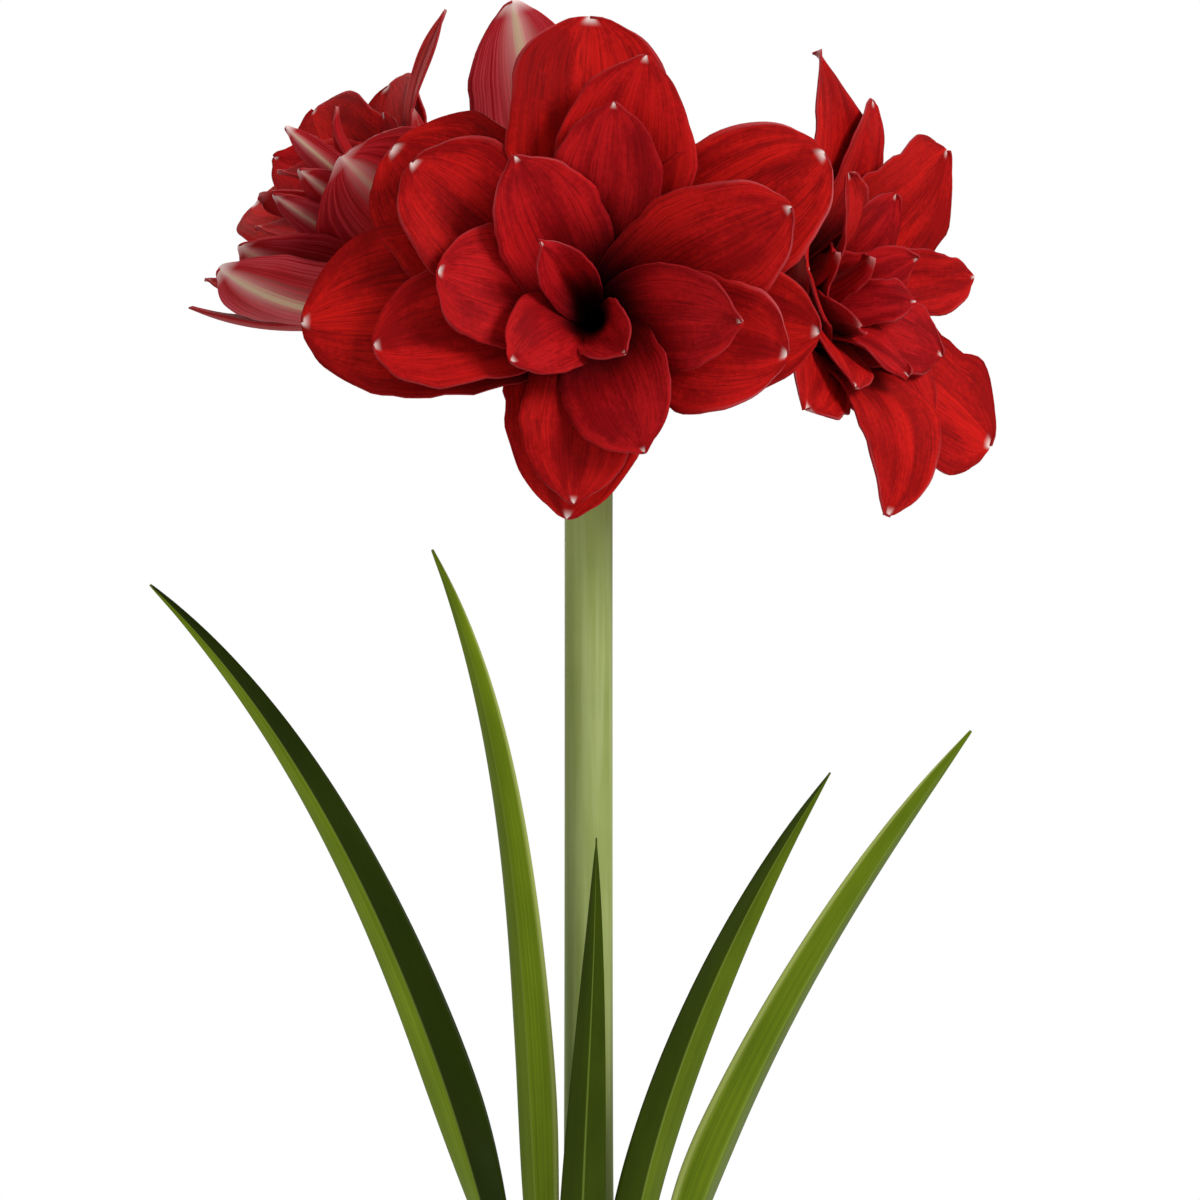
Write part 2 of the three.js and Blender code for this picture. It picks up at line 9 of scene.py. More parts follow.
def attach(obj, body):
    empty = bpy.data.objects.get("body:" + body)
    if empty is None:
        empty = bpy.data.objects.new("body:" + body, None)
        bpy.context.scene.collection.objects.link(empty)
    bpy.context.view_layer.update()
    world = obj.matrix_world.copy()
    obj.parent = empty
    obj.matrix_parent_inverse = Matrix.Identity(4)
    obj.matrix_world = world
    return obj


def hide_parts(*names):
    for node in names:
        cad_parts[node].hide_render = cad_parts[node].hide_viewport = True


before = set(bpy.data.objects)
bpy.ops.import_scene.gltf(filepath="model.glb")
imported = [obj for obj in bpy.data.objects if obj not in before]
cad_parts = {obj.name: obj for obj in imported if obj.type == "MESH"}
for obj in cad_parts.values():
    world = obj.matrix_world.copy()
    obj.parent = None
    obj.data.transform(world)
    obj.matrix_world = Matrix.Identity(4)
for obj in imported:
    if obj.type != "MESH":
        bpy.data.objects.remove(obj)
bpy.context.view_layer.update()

mm = 0.001
scene = bpy.context.scene
rootBody = "root"


# Small helpers for colour, nodes and meshes

def linearColor(hexText):
    channels = [int(hexText[i:i + 2], 16) / 255 for i in (0, 2, 4)]
    linear = [c / 12.92 if c <= 0.04045 else ((c + 0.055) / 1.055) ** 2.4 for c in channels]
    return (*linear, 1.0)


def addNode(tree, kind, inputs=None, **settings):
    node = tree.nodes.new(kind)
    for name, value in settings.items():
        setattr(node, name, value)
    for name, value in (inputs or {}).items():
        socket = node.inputs[name]
        if isinstance(value, bpy.types.NodeSocket):
            tree.links.new(value, socket)
        else:
            socket.default_value = value
    return node


def newMaterial(name, **shaderInputs):
    material = bpy.data.materials.new(name)
    material.use_nodes = True
    shader = material.node_tree.nodes["Principled BSDF"]
    for label, value in shaderInputs.items():
        shader.inputs[label.replace("_", " ")].default_value = value
    return material, material.node_tree, shader


def smoothStep(value, low, high):
    share = min(max((value - low) / (high - low), 0.0), 1.0)
    return share * share * (3 - 2 * share)


def mix(a, b, share):
    return a + (b - a) * share


def outwardAt(angle):
    return Vector((math.cos(angle), math.sin(angle), 0))


# Adds a grid to a bmesh and moves each corner to pointAt(across, along), both 0 to 1
def formedGrid(mesh, acrossSteps, alongSteps, pointAt, **marks):
    uvLayer = mesh.loops.layers.uv.verify()
    floats = mesh.verts.layers.float
    layers = {name: floats.get(name) or floats.new(name) for name in marks}
    made = bmesh.ops.create_grid(mesh, x_segments=acrossSteps, y_segments=alongSteps, size=0.5)
    places = {v: (v.co.x + 0.5, v.co.y + 0.5) for v in made["verts"]}
    for face in {f for v in made["verts"] for f in v.link_faces}:
        face.smooth = True
        for loop in face.loops:
            loop[uvLayer].uv = places[loop.vert]
    for v, (across, along) in places.items():
        v.co = pointAt(across, along)
        for name, layer in layers.items():
            v[layer] = marks[name]


# Turns a bmesh into a piece that rides on the body and stands in for one of the solids
def finishPiece(name, mesh, materials, node, closed=False):
    bmesh.ops.remove_doubles(mesh, verts=mesh.verts, dist=1e-6)
    if closed:
        bmesh.ops.recalc_face_normals(mesh, faces=mesh.faces)
    data = bpy.data.meshes.new(name)
    mesh.to_mesh(data)
    mesh.free()
    piece = bpy.data.objects.new(name, data)
    scene.collection.objects.link(piece)
    for material in materials:
        data.materials.append(material)
    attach(piece, rootBody)
    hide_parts(node)
    return piece


def closedPiece(name, material, node, slot, s, pointAt, **marks):
    mesh = bmesh.new()
    formedGrid(mesh, s["aroundSteps"], s["alongSteps"], pointAt, **marks)
    finishPiece(name, mesh, [material], node, closed=True)


# Thickens a sheet both ways from its middle, with materials of its own for back and edge
def addThickness(piece, thickness, backSlot=0, edgeSlot=0):
    shell = piece.modifiers.new("thickness", "SOLIDIFY")
    shell.thickness = thickness
    shell.offset = 0.0
    shell.material_offset = backSlot
    shell.material_offset_rim = edgeSlot
    shell.use_rim = True
    return shell


# A point on a smooth line through a short list of (radius, height) points
def lineThrough(points, share):
    place = share * (len(points) - 1)
    index = min(int(place), len(points) - 2)
    t = place - index
    p0 = points[max(index - 1, 0)]
    p1, p2 = points[index], points[index + 1]
    p3 = points[min(index + 2, len(points) - 1)]
    result = []
    for a, b, c, d in zip(p0, p1, p2, p3):
        result.append(0.5 * (2 * b + (c - a) * t + (2 * a - 5 * b + 4 * c - d) * t ** 2
                             + (3 * b - a - 3 * c + d) * t ** 3))
    return result


# A point on a cubic curve through its four control points, and the way it runs there
def cubicPoint(points, t):
    a, b, c, d = points
    return a * (1 - t) ** 3 + b * (3 * (1 - t) ** 2 * t) + c * (3 * (1 - t) * t ** 2) + d * t ** 3


def cubicWay(points, t):
    a, b, c, d = points
    way = (b - a) * (1 - t) ** 2 + (c - b) * (2 * (1 - t) * t) + (d - c) * t ** 2
    return way.normalized()


# Camera at the photograph's viewing angle: level, straight on, with the pot below the frame

viewSettings = {
    "frameWidth": 462 * mm,      # what the frame shows at the scape
    "distance": 2.4,
    "across": 4.4 * mm,
    "height": 508 * mm,
    "sensor": 36.0,
    "clipEnd": 30,
}


def makeCamera(v):
    data = bpy.data.cameras.new("camera")
    data.sensor_width = v["sensor"]
    data.lens = v["sensor"] * v["distance"] / v["frameWidth"]
    data.clip_end = v["clipEnd"]
    camera = bpy.data.objects.new("camera", data)
    camera.location = (v["across"], -v["distance"], v["height"])
    camera.rotation_euler = (math.radians(90), 0, 0)
    scene.collection.objects.link(camera)
    scene.camera = camera


makeCamera(viewSettings)
print("camera placed")


# Materials

def mixColor(tree, factor, a, b):
    colors = {"Factor": factor, "A": a, "B": b}
    colors = {k: linearColor(v) if isinstance(v, str) else v for k, v in colors.items()}
    return addNode(tree, "ShaderNodeMix", colors, data_type="RGBA").outputs["Result"]


def mapRange(tree, value, low, high, toLow=0.0, toHigh=1.0):
    ranges = {"Value": value, "From Min": low, "From Max": high, "To Min": toLow, "To Max": toHigh}
    node = addNode(tree, "ShaderNodeMapRange", ranges, interpolation_type="SMOOTHSTEP")
    return node.outputs["Result"]


def mathNode(tree, operation, a, b=0.0):
    return addNode(tree, "ShaderNodeMath", {0: a, 1: b}, operation=operation).outputs["Value"]


def plus(tree, a, b):
    return mathNode(tree, "ADD", a, b)


def times(tree, a, b):
    return mathNode(tree, "MULTIPLY", a, b)


def distanceTo(tree, value, goal):
    return mathNode(tree, "ABSOLUTE", mathNode(tree, "SUBTRACT", value, goal))


def stretchedNoise(tree, vector, scale, detail=3.0, roughness=0.5):
    mapping = addNode(tree, "ShaderNodeMapping", {"Vector": vector, "Scale": scale})
    pattern = addNode(tree, "ShaderNodeTexNoise", {
        "Vector": mapping.outputs["Vector"], "Scale": 1.0, "Detail": detail, "Roughness": roughness})
    return pattern.outputs["Fac"]


def attribute(tree, name):
    return addNode(tree, "ShaderNodeAttribute", attribute_name=name).outputs["Fac"]


def objectPlace(tree):
    return addNode(tree, "ShaderNodeTexCoord").outputs["Object"]


# A blade's own place: across it, along it, and a number of its own that keeps two blades unlike
def bladePlace(tree):
    coords = addNode(tree, "ShaderNodeTexCoord")
    parts = addNode(tree, "ShaderNodeSeparateXYZ", {"Vector": coords.outputs["UV"]})
    across, along = parts.outputs["X"], parts.outputs["Y"]
    ownNumber = attribute(tree, "tone")
    place = addNode(tree, "ShaderNodeCombineXYZ", {"X": across, "Y": along, "Z": ownNumber})
    return place.outputs["Vector"], across, along


def finishSurface(tree, shader, color, height, strength, distance):
    tree.links.new(color, shader.inputs["Base Color"])
    bump = addNode(tree, "ShaderNodeBump", {
        "Height": height, "Strength": strength, "Distance": distance})
    tree.links.new(bump.outputs["Normal"], shader.inputs["Normal"])


# Petal face: living tissue of tiny domed cells, which gives a velvet grain on deep red, with fine
# dark veins that fork along the petal, a pale callus at the tip and a dark throat that painted
# shade deepens to near black
def petalFaceMaterial():
    material, tree, shader = newMaterial(
        "velvet petal face", Roughness=0.66, IOR=1.4, Sheen_Weight=0.08, Sheen_Roughness=0.5,
        Specular_IOR_Level=0.08)
    shader.inputs["Sheen Tint"].default_value = linearColor("ff3a30")
    place, across, along = bladePlace(tree)
    fromRib = distanceTo(tree, across, 0.5)
    veins = stretchedNoise(tree, place, (36, 1.5, 40), 2.0, 0.45)              # a vein each 1 to 2 mm
    clouds = stretchedNoise(tree, place, (4.0, 2.2, 25), 4.0, 0.55)
    velvet = stretchedNoise(tree, objectPlace(tree), (520, 520, 520), 4.0, 0.6)      # 2 mm mottles
    mottling = plus(tree, times(tree, clouds, 0.75), times(tree, velvet, 0.25))
    mottled = mapRange(tree, mottling, 0.38, 0.62)
    outer = mixColor(tree, mottled, "9c0a0b", "d01813")
    inner = mixColor(tree, mottled, "960a12", "c4171d")
    ground = mixColor(tree, attribute(tree, "rosy"), outer, inner)
    onVein = mapRange(tree, distanceTo(tree, veins, 0.5), 0.0, 0.05, 0.5, 0.0)
    veined = mixColor(tree, onVein, ground, "560306")
    shaded = mixColor(tree, mapRange(tree, veins, 0.3, 0.5, 0.3, 0.0), veined, "6a0306")
    # Dark throat colour towards the base, deepened to near black with painted shade
    depth = plus(tree, along, times(tree, clouds, 0.1))
    darkThroatAndShade = mixColor(tree, mapRange(tree, depth, 0.08, 0.46), "16020a", shaded)
    nearEdge = mapRange(tree, fromRib, 0.46, 0.495)
    margin = times(tree, nearEdge, mapRange(tree, along, 0.45, 0.85))
    someMore = mapRange(tree, attribute(tree, "tone"), 0.4, 1.0, 0.0, 0.6)     # petals differ
    rimmed = mixColor(tree, times(tree, margin, someMore), darkThroatAndShade, "d8747a")
    nearRib = mapRange(tree, fromRib, 0.06, 0.2, 1.0, 0.0)
    atTip = times(tree, mapRange(tree, along, 0.87, 0.95), nearRib)
    tipped = mixColor(tree, atTip, rimmed, "f6dcd6")
    relief = plus(tree, veins, times(tree, velvet, 0.5))
    finishSurface(tree, shader, tipped, relief, 0.3, 0.0005)
    return material


# Petal back: smoother, crimson to pink with fine light streaks, paling to a green-white midrib
def petalBackMaterial():
    material, tree, shader = newMaterial(
        "pale petal back", Roughness=0.5, IOR=1.4, Sheen_Weight=0.03, Sheen_Roughness=0.4,
        Specular_IOR_Level=0.1)
    place, across, along = bladePlace(tree)
    fromRib = distanceTo(tree, across, 0.5)
    pale = attribute(tree, "pale")
    streaks = stretchedNoise(tree, place, (50, 1.2, 40), 3.0, 0.55)            # one each 1 mm
    clouds = stretchedNoise(tree, place, (3.0, 2.0, 25), 3.0, 0.5)
    streaked = mapRange(tree, streaks, 0.36, 0.64)
    crimson = mixColor(tree, streaked, "900b13", "b8161c")
    pink = mixColor(tree, streaked, "a81828", "d0525e")
    clouded = mapRange(tree, clouds, 0.35, 0.65, 0.1, 0.6)
    ground = mixColor(tree, times(tree, pale, clouded), crimson, pink)
    wander = times(tree, mathNode(tree, "SUBTRACT", streaks, 0.5), 0.14)
    fromBand = plus(tree, fromRib, wander)
    bandReach = times(tree, plus(tree, pale, 0.3), 0.22)
    inBand = mapRange(tree, fromBand, 0.0, bandReach, 0.9, 0.0)
    band = times(tree, inBand, mapRange(tree, along, 0.25, 0.9, 0.1, 1.0))
    banded = mixColor(tree, times(tree, band, mapRange(tree, pale, 0.1, 0.5)), ground, "e0a29e")
    ribReach = times(tree, plus(tree, pale, 0.2), 0.08)
    onRib = times(tree, mapRange(tree, fromBand, 0.0, ribReach, 0.8, 0.0), pale)
    ribbed = mixColor(tree, onRib, banded, "cdbf98")
    footed = mixColor(tree, mapRange(tree, along, 0.02, 0.3, 0.85, 0.0), ribbed, "8f9a52")
    atTip = times(tree, mapRange(tree, along, 0.82, 1.0), plus(tree, pale, 0.2))
    tipped = mixColor(tree, atTip, footed, "f4dcd6")
    finishSurface(tree, shader, tipped, streaks, 0.3, 0.0005)
    return material


# Petal margin: the thin edge is a little duller than the face
def petalEdgeMaterial():
    material, tree, shader = newMaterial(
        "petal margin", Roughness=0.55, IOR=1.4, Specular_IOR_Level=0.2)
    speckle = stretchedNoise(tree, objectPlace(tree), (120, 120, 120), 2.0)
    color = mixColor(tree, speckle, "8c0a0e", "b8262e")
    finishSurface(tree, shader, color, speckle, 0.1, 0.0002)
    return material


# Perianth tube: green outside, and dark maroon inside where the petals join
def tubeMaterial():
    material, tree, shader = newMaterial(
        "perianth tube", Roughness=0.5, IOR=1.4, Specular_IOR_Level=0.25)
    place, _, along = bladePlace(tree)
    fibres = stretchedNoise(tree, place, (60, 2, 1))
    green = mixColor(tree, fibres, "5c6a2c", "86904c")
    color = mixColor(tree, mapRange(tree, along, 0.62, 0.72), green, "1c0206")
    finishSurface(tree, shader, color, fibres, 0.2, 0.0003)
    return material


# Strap leaf: smooth waxy cuticle with fine parallel veins, lighter along the midrib, with a painted
# highlight along the edge that faces the light and painted shade on either half, set per leaf
def leafMaterial():
    material, tree, shader = newMaterial(
        "waxy strap leaf", Roughness=0.36, IOR=1.45, Specular_IOR_Level=0.1)
    place, across, along = bladePlace(tree)
    veins = stretchedNoise(tree, place, (38, 1.5, 30), 2.0)              # a vein each 0.7 mm
    clouds = stretchedNoise(tree, place, (1.5, 9, 20), 4.0)
    # Lit and shaded copies of the leaf green, which the painted shade below chooses between
    light = mixColor(tree, clouds, "667f0c", "8ea61e")
    dark = mixColor(tree, clouds, "1c2800", "303f02")
    # Painted shade: each half of the leaf darkened by the amount set for it
    rightHalf = mapRange(tree, across, 0.485, 0.515)
    shadeChange = times(tree, rightHalf, attribute(tree, "shadeStep"))
    ground = mixColor(tree, plus(tree, attribute(tree, "shade"), shadeChange), light, dark)
    veined = mixColor(tree, mapRange(tree, veins, 0.38, 0.62, 0.25, 0.0), ground, "2c3c04")
    fromRib = distanceTo(tree, across, 0.5)
    ribbed = mixColor(tree, mapRange(tree, fromRib, 0.0, 0.035, 0.5, 0.0), veined, "8a9c40")
    # Painted highlight along the edge that faces the light
    fromEdge = distanceTo(tree, across, attribute(tree, "lightEdge"))
    edged = mixColor(tree, mapRange(tree, fromEdge, 0.03, 0.12, 0.7, 0.0), ribbed, "b0bc66")
    footed = mixColor(tree, mapRange(tree, along, 0.02, 0.2, 0.8, 0.0), edged, "b9bf7a")
    finishSurface(tree, shader, footed, veins, 0.15, 0.0004)
    return material


# Scape and pedicels: thick stalks with a pale wax bloom that rubs off in streaks
def stalkMaterial(name, dark, light, blush):
    material, tree, shader = newMaterial(name, Roughness=0.45, IOR=1.45, Specular_IOR_Level=0.3)
    place = objectPlace(tree)
    fibres = stretchedNoise(tree, place, (260, 260, 9))                  # fine lines up the stalk
    wax = stretchedNoise(tree, place, (45, 45, 14), 5.0, 0.6)
    ground = mixColor(tree, wax, dark, light)
    color = mixColor(tree, mapRange(tree, fibres, 0.4, 0.7, 0.0, 0.3), ground, blush)
    finishSurface(tree, shader, color, fibres, 0.2, 0.0003)
    return material


# Dry papery skin: thin brown sheets with raised lengthwise veins
def paperySkinMaterial(name, dark, light, vein):
    material, tree, shader = newMaterial(name, Roughness=0.55, IOR=1.45, Specular_IOR_Level=0.35)
    place, _, _ = bladePlace(tree)
    veins = stretchedNoise(tree, place, (110, 2.5, 30))                  # a vein each 2.8 mm round
    blotches = stretchedNoise(tree, objectPlace(tree), (38, 38, 38), 6.0, 0.65)
    ground = mixColor(tree, blotches, dark, light)
    color = mixColor(tree, mapRange(tree, veins, 0.4, 0.65, 0.5, 0.0), ground, vein)
    finishSurface(tree, shader, color, veins, 0.5, 0.0008)
    return material


# Crumbled matter such as moist peat: dark grains, each catching a little light
def crumbMaterial(name, dark, light):
    material, tree, shader = newMaterial(name, Roughness=0.92, IOR=1.4, Specular_IOR_Level=0.25)
    place = objectPlace(tree)
    crumbs = stretchedNoise(tree, place, (420, 420, 420), 6.0, 0.7)
    patches = stretchedNoise(tree, place, (55, 55, 55))
    share = mapRange(tree, times(tree, crumbs, patches), 0.12, 0.42)
    finishSurface(tree, shader, mixColor(tree, share, dark, light), crumbs, 0.8, 0.0015)
    return material


# Terracotta: unglazed fired clay, thrown and wiped, with grog specks and a pale lime bloom
def terracottaMaterial():
    material, tree, shader = newMaterial(
        "thrown terracotta", Roughness=0.85, IOR=1.5, Specular_IOR_Level=0.25)
    place = objectPlace(tree)
    rings = stretchedNoise(tree, place, (6, 6, 420))                     # wiping lines 2 to 3 mm apart
    patches = stretchedNoise(tree, place, (22, 22, 22), 7.0, 0.6)
    specks = stretchedNoise(tree, place, (900, 900, 900), 2.0)
    ground = mixColor(tree, rings, "a4583a", "c47a56")
    limed = mixColor(tree, mapRange(tree, patches, 0.52, 0.78, 0.0, 0.55), ground, "dcb9a0")
    specked = mixColor(tree, mapRange(tree, specks, 0.62, 0.72, 0.0, 0.45), limed, "6e3722")
    relief = plus(tree, rings, times(tree, specks, 0.2))
    finishSurface(tree, shader, specked, relief, 0.35, 0.0006)
    return material


petalFace = petalFaceMaterial()
petalBack = petalBackMaterial()
petalEdge = petalEdgeMaterial()
tubeSkin = tubeMaterial()
leafSkin = leafMaterial()
scapeSkin = stalkMaterial("waxy scape", "78883e", "b0be70", "ccd69c")
pedicelSkin = stalkMaterial("waxy pedicel", "5f7a35", "879e50", "9a6a48")
bulbSkin = paperySkinMaterial("papery bulb skin", "6e3f1e", "a8703c", "4a2712")
bractSkin = paperySkinMaterial("withered bract", "8f6c46", "c6a67a", "6a4a2a")
compost = crumbMaterial("peat compost", "140d08", "4a3322")
bark = crumbMaterial("bark chips", "3a2414", "7a5534")
perlite = crumbMaterial("perlite grains", "a8a49a", "e6e2d8")
terracotta = terracottaMaterial()
print("materials made")


# Blooms: each whorl's midrib leaves the perianth tube at a root and ends at the petal's own tip

whorls = {
    "outer": {"rootRadius": 5, "rootRise": 0, "rootAngle": 12, "rootReach": 50,
              "tipAngle": 100, "tipReach": 55, "pale": 0.15, "rosy": 0.0},
    "middle": {"rootRadius": 4, "rootRise": 4, "rootAngle": 10, "rootReach": 55,
               "tipAngle": 85, "tipReach": 40, "pale": 0.15, "rosy": 0.25},
    "inner": {"rootRadius": 3, "rootRise": 6, "rootAngle": 8, "rootReach": 52,
              "tipAngle": 65, "tipReach": 28, "pale": 0.0, "rosy": 0.8},
    "petaloid": {"rootRadius": 2, "rootRise": 8, "rootAngle": 6, "rootReach": 42,
                 "tipAngle": 40, "tipReach": 18, "pale": 0.0, "rosy": 1.0},
}

# What a petal has where its own line says nothing else, with ruffle in mm and swing in degrees
plainPetal = {"cup": 0.4, "blunt": 0.55, "swing": 0, "fold": 0, "ruffle": 1.2, "ragged": 0.1}


def petal(whorl, around, reach, rise, width, **extra):
    measures = {"around": around, "reach": reach, "rise": rise, "width": width}
    return {**plainPetal, **whorls[whorl], **measures, **extra}


bloomSettings = {
    "acrossSteps": 18, "alongSteps": 30, "seed": 11,
    "firstShare": 0.12,      # where along its midrib a petal starts, in or near the tube
    "thickness": 0.9 * mm,
    "claw": 0.18,            # width of the narrow foot, as a share of the petal's width
    "throatRadius": 6,       # radius that the feet wrap round at the least, mm
    "turn": 7,               # most that a petal twists to one side, degrees
    "waves": (1.6, 2.4),     # waves along the margin
    "swell": 0.8,            # height of the waves down the middle, mm
    "groove": 0.5,           # depth of the midrib's groove, mm
    "grooveWidth": 1.6,
    "mucro": 1.6,            # length of the pale point at a petal's tip, mm
}

# Angle round the axis, reach from it, rise along it and width, in degrees and millimetres
frontPetals = [
    petal("outer", 90, 108, 58, 66, blunt=0.42),
    petal("outer", 140, 95, 54, 68, blunt=0.4),
    petal("outer", 176, 105, 60, 72, blunt=0.5, swing=6),
    petal("outer", 264, 75, 56, 57),
    petal("outer", 353, 84, 58, 60, blunt=0.5, swing=2),
    petal("outer", 36, 103, 60, 60, blunt=0.42, swing=-2, fold=0.12),
    petal("middle", 77, 94, 74, 54, blunt=0.6, fold=0.25),
    petal("middle", 140, 83, 72, 56, blunt=0.42, cup=0.6),
    petal("middle", 187, 78, 76, 50, blunt=0.45, cup=0.8, swing=3),
    petal("middle", 266, 70, 70, 46, cup=0.3),
    petal("middle", 341, 74, 72, 54, blunt=0.45, cup=0.3, swing=6),
    petal("middle", 26, 82, 76, 52, blunt=0.5),
    petal("inner", 82, 74, 84, 42, cup=0.3, fold=0.15, blunt=0.58),
    petal("inner", 115, 59, 86, 44, blunt=0.6, cup=0.3),
    petal("inner", 166, 54, 84, 46, blunt=0.4, cup=0.2),
    petal("inner", 211, 32, 86, 34, blunt=0.45, cup=0.3, swing=6),
    petal("inner", 292, 56, 82, 44, blunt=0.6, cup=0.3),
    petal("inner", 358, 56, 84, 41, blunt=0.6, swing=-4),
    petal("petaloid", 125, 27, 88, 22, cup=0.6, fold=0.3, blunt=0.7),
    petal("petaloid", 310, 21, 84, 28, cup=1.2),
]

leftPetals = [
    petal("outer", 88, 70, 86, 24, cup=0.3, rootAngle=4, rootReach=72, tipAngle=68,
          tipReach=34, pale=0.1),
    petal("outer", 139, 62, 82, 56, blunt=0.42, tipAngle=70),
    petal("outer", 166, 78, 96, 44, blunt=0.5, tipAngle=70),
    petal("outer", 199, 76, 88, 56, blunt=0.4, tipAngle=70),
    petal("outer", 256, 80, 82, 42, rootAngle=50, rootReach=35, tipAngle=20, tipReach=35),
    petal("outer", 305, 80, 86, 50, cup=0.7, rootAngle=50, rootReach=35, tipAngle=8,
          tipReach=40, pale=0.9),
    petal("outer", 355, 52, 80, 66, cup=0.6, rootAngle=40, rootReach=40, tipAngle=12,
          tipReach=30, pale=0.4),
    petal("middle", 187, 60, 90, 44, tipAngle=60),
    petal("middle", 240, 73, 84, 40, rootAngle=40, rootReach=40, tipAngle=25, tipReach=30),
    petal("middle", 307, 66, 86, 38, cup=0.7, rootAngle=40, rootReach=40, tipAngle=10,
          tipReach=30, pale=1.0),
    petal("middle", 323, 50, 89, 18, cup=0.7, rootAngle=35, tipAngle=8, tipReach=30, pale=0.8),
    petal("middle", 338, 46, 88, 20, cup=0.7, rootAngle=35, tipAngle=8, tipReach=30, pale=0.6),
    petal("middle", 347, 33, 102, 13, cup=0.6, rootAngle=25, tipAngle=5, tipReach=30, pale=1.0),
    petal("middle", 62, 36, 70, 36, rootAngle=20, tipAngle=30),
    petal("inner", 115, 30, 76, 30, tipAngle=40),
    petal("inner", 195, 38, 96, 32, tipAngle=40),
    petal("inner", 246, 40, 84, 30, tipAngle=35),
    petal("inner", 300, 36, 92, 28, tipAngle=25),
    petal("petaloid", 80, 14, 92, 26, cup=0.9),
    petal("petaloid", 240, 18, 92, 26, cup=1.2),
]

rightPetals = [
    petal("outer", 95, 91, 77, 52, blunt=0.65, swing=3),
    petal("outer", 34, 93, 82, 62, blunt=0.62, swing=4, tipAngle=80),
    petal("outer", 319, 88, 88, 60, blunt=0.4, tipAngle=75),
    petal("outer", 270, 84, 80, 42, blunt=0.4, swing=-4, tipAngle=115),
    petal("outer", 222, 66, 74, 54, tipAngle=85),
    petal("outer", 142, 66, 74, 54, tipAngle=85),
    petal("middle", 73, 77, 78, 46, blunt=0.5),
    petal("middle", 6, 80, 84, 30, cup=0.9, blunt=0.6, tipAngle=80),
    petal("middle", 300, 61, 83, 44, tipAngle=75),
    petal("middle", 235, 45, 82, 36, tipAngle=65),
    petal("middle", 172, 46, 80, 38, tipAngle=65),
    petal("middle", 112, 45, 86, 34, cup=0.5, tipAngle=75),
    petal("inner", 60, 42, 84, 34, tipAngle=65),
    petal("inner", 25, 30, 86, 28, tipAngle=60),
    petal("inner", 330, 46, 86, 36, tipAngle=70),
    petal("inner", 275, 32, 90, 28, tipAngle=45),
    petal("inner", 215, 26, 84, 26, tipAngle=45),
    petal("inner", 150, 26, 80, 26, tipAngle=45),
    petal("petaloid", 350, 22, 86, 22, cup=0.9),
    petal("petaloid", 130, 14, 86, 20, cup=0.8),
]
for form in rightPetals:
    form.update(ruffle=2.4, ragged=0.26)     # these are more crinkled than the others

backPetals = [
    petal("outer", 76, 104, 66, 52, tipAngle=75, pale=1.0),
    petal("outer", 138, 66, 58, 60),
    petal("outer", 184, 90, 60, 62),
    petal("outer", 243, 88, 60, 58),
    petal("outer", 302, 74, 60, 60),
    petal("outer", 8, 72, 60, 56),
    petal("middle", 105, 76, 76, 50),
    petal("middle", 160, 74, 76, 50, cup=0.5),
    petal("middle", 213, 76, 76, 50),
    petal("middle", 272, 72, 76, 48),
    petal("middle", 335, 76, 76, 50),
    petal("middle", 42, 66, 76, 48),
    petal("inner", 72, 58, 86, 38),
    petal("inner", 130, 56, 86, 38),
    petal("inner", 188, 54, 86, 38),
    petal("inner", 245, 52, 86, 36),
    petal("inner", 302, 54, 86, 36),
    petal("inner", 10, 56, 86, 38),
    petal("petaloid", 70, 24, 86, 24, cup=0.9),
    petal("petaloid", 250, 20, 86, 26, cup=1.2),
]

# Where each bloom's foot is, the way it faces, where its pedicel stands and how its petals lap
blooms = {
    "front": {"foot": (4, -38, 612), "facing": (-0.06, -0.99, 0.04), "stand": 270, "lap": 8,
              "petals": frontPetals},
    "left": {"foot": (-38, 3, 624), "facing": (-0.74, -0.12, 0.66), "stand": 180, "lap": 0,
             "petals": leftPetals},
    "right": {"foot": (38, -6, 614), "facing": (0.85, -0.5, 0.13), "stand": 0, "lap": 8,
              "petals": rightPetals},
    "back": {"foot": (-4, 34, 620), "facing": (-0.15, 0.85, 0.5), "stand": 90, "lap": 0,
             "petals": backPetals},
}


# Width along a petal as a share of its full width: a claw, a belly and a blunt or sharp end
def petalOutline(share, blunt, claw):
    rise = 1.05
    widest = rise / (rise + blunt)
    body = share ** rise * (1 - share) ** blunt
    most = widest ** rise * (1 - widest) ** blunt
    return body / most * (0.9 + 0.1 * share) + claw * (1 - share) ** 2


def petalMidrib(form):
    rootAngle, tipAngle = math.radians(form["rootAngle"]), math.radians(form["tipAngle"])
    root = Vector((form["rootRadius"], form["rootRise"]))
    tip = Vector((form["reach"], form["rise"]))
    rootBend = root + Vector((math.sin(rootAngle), math.cos(rootAngle))) * form["rootReach"]
    tipBend = tip - Vector((math.sin(tipAngle), math.cos(tipAngle))) * form["tipReach"]
    return root, rootBend, tipBend, tip


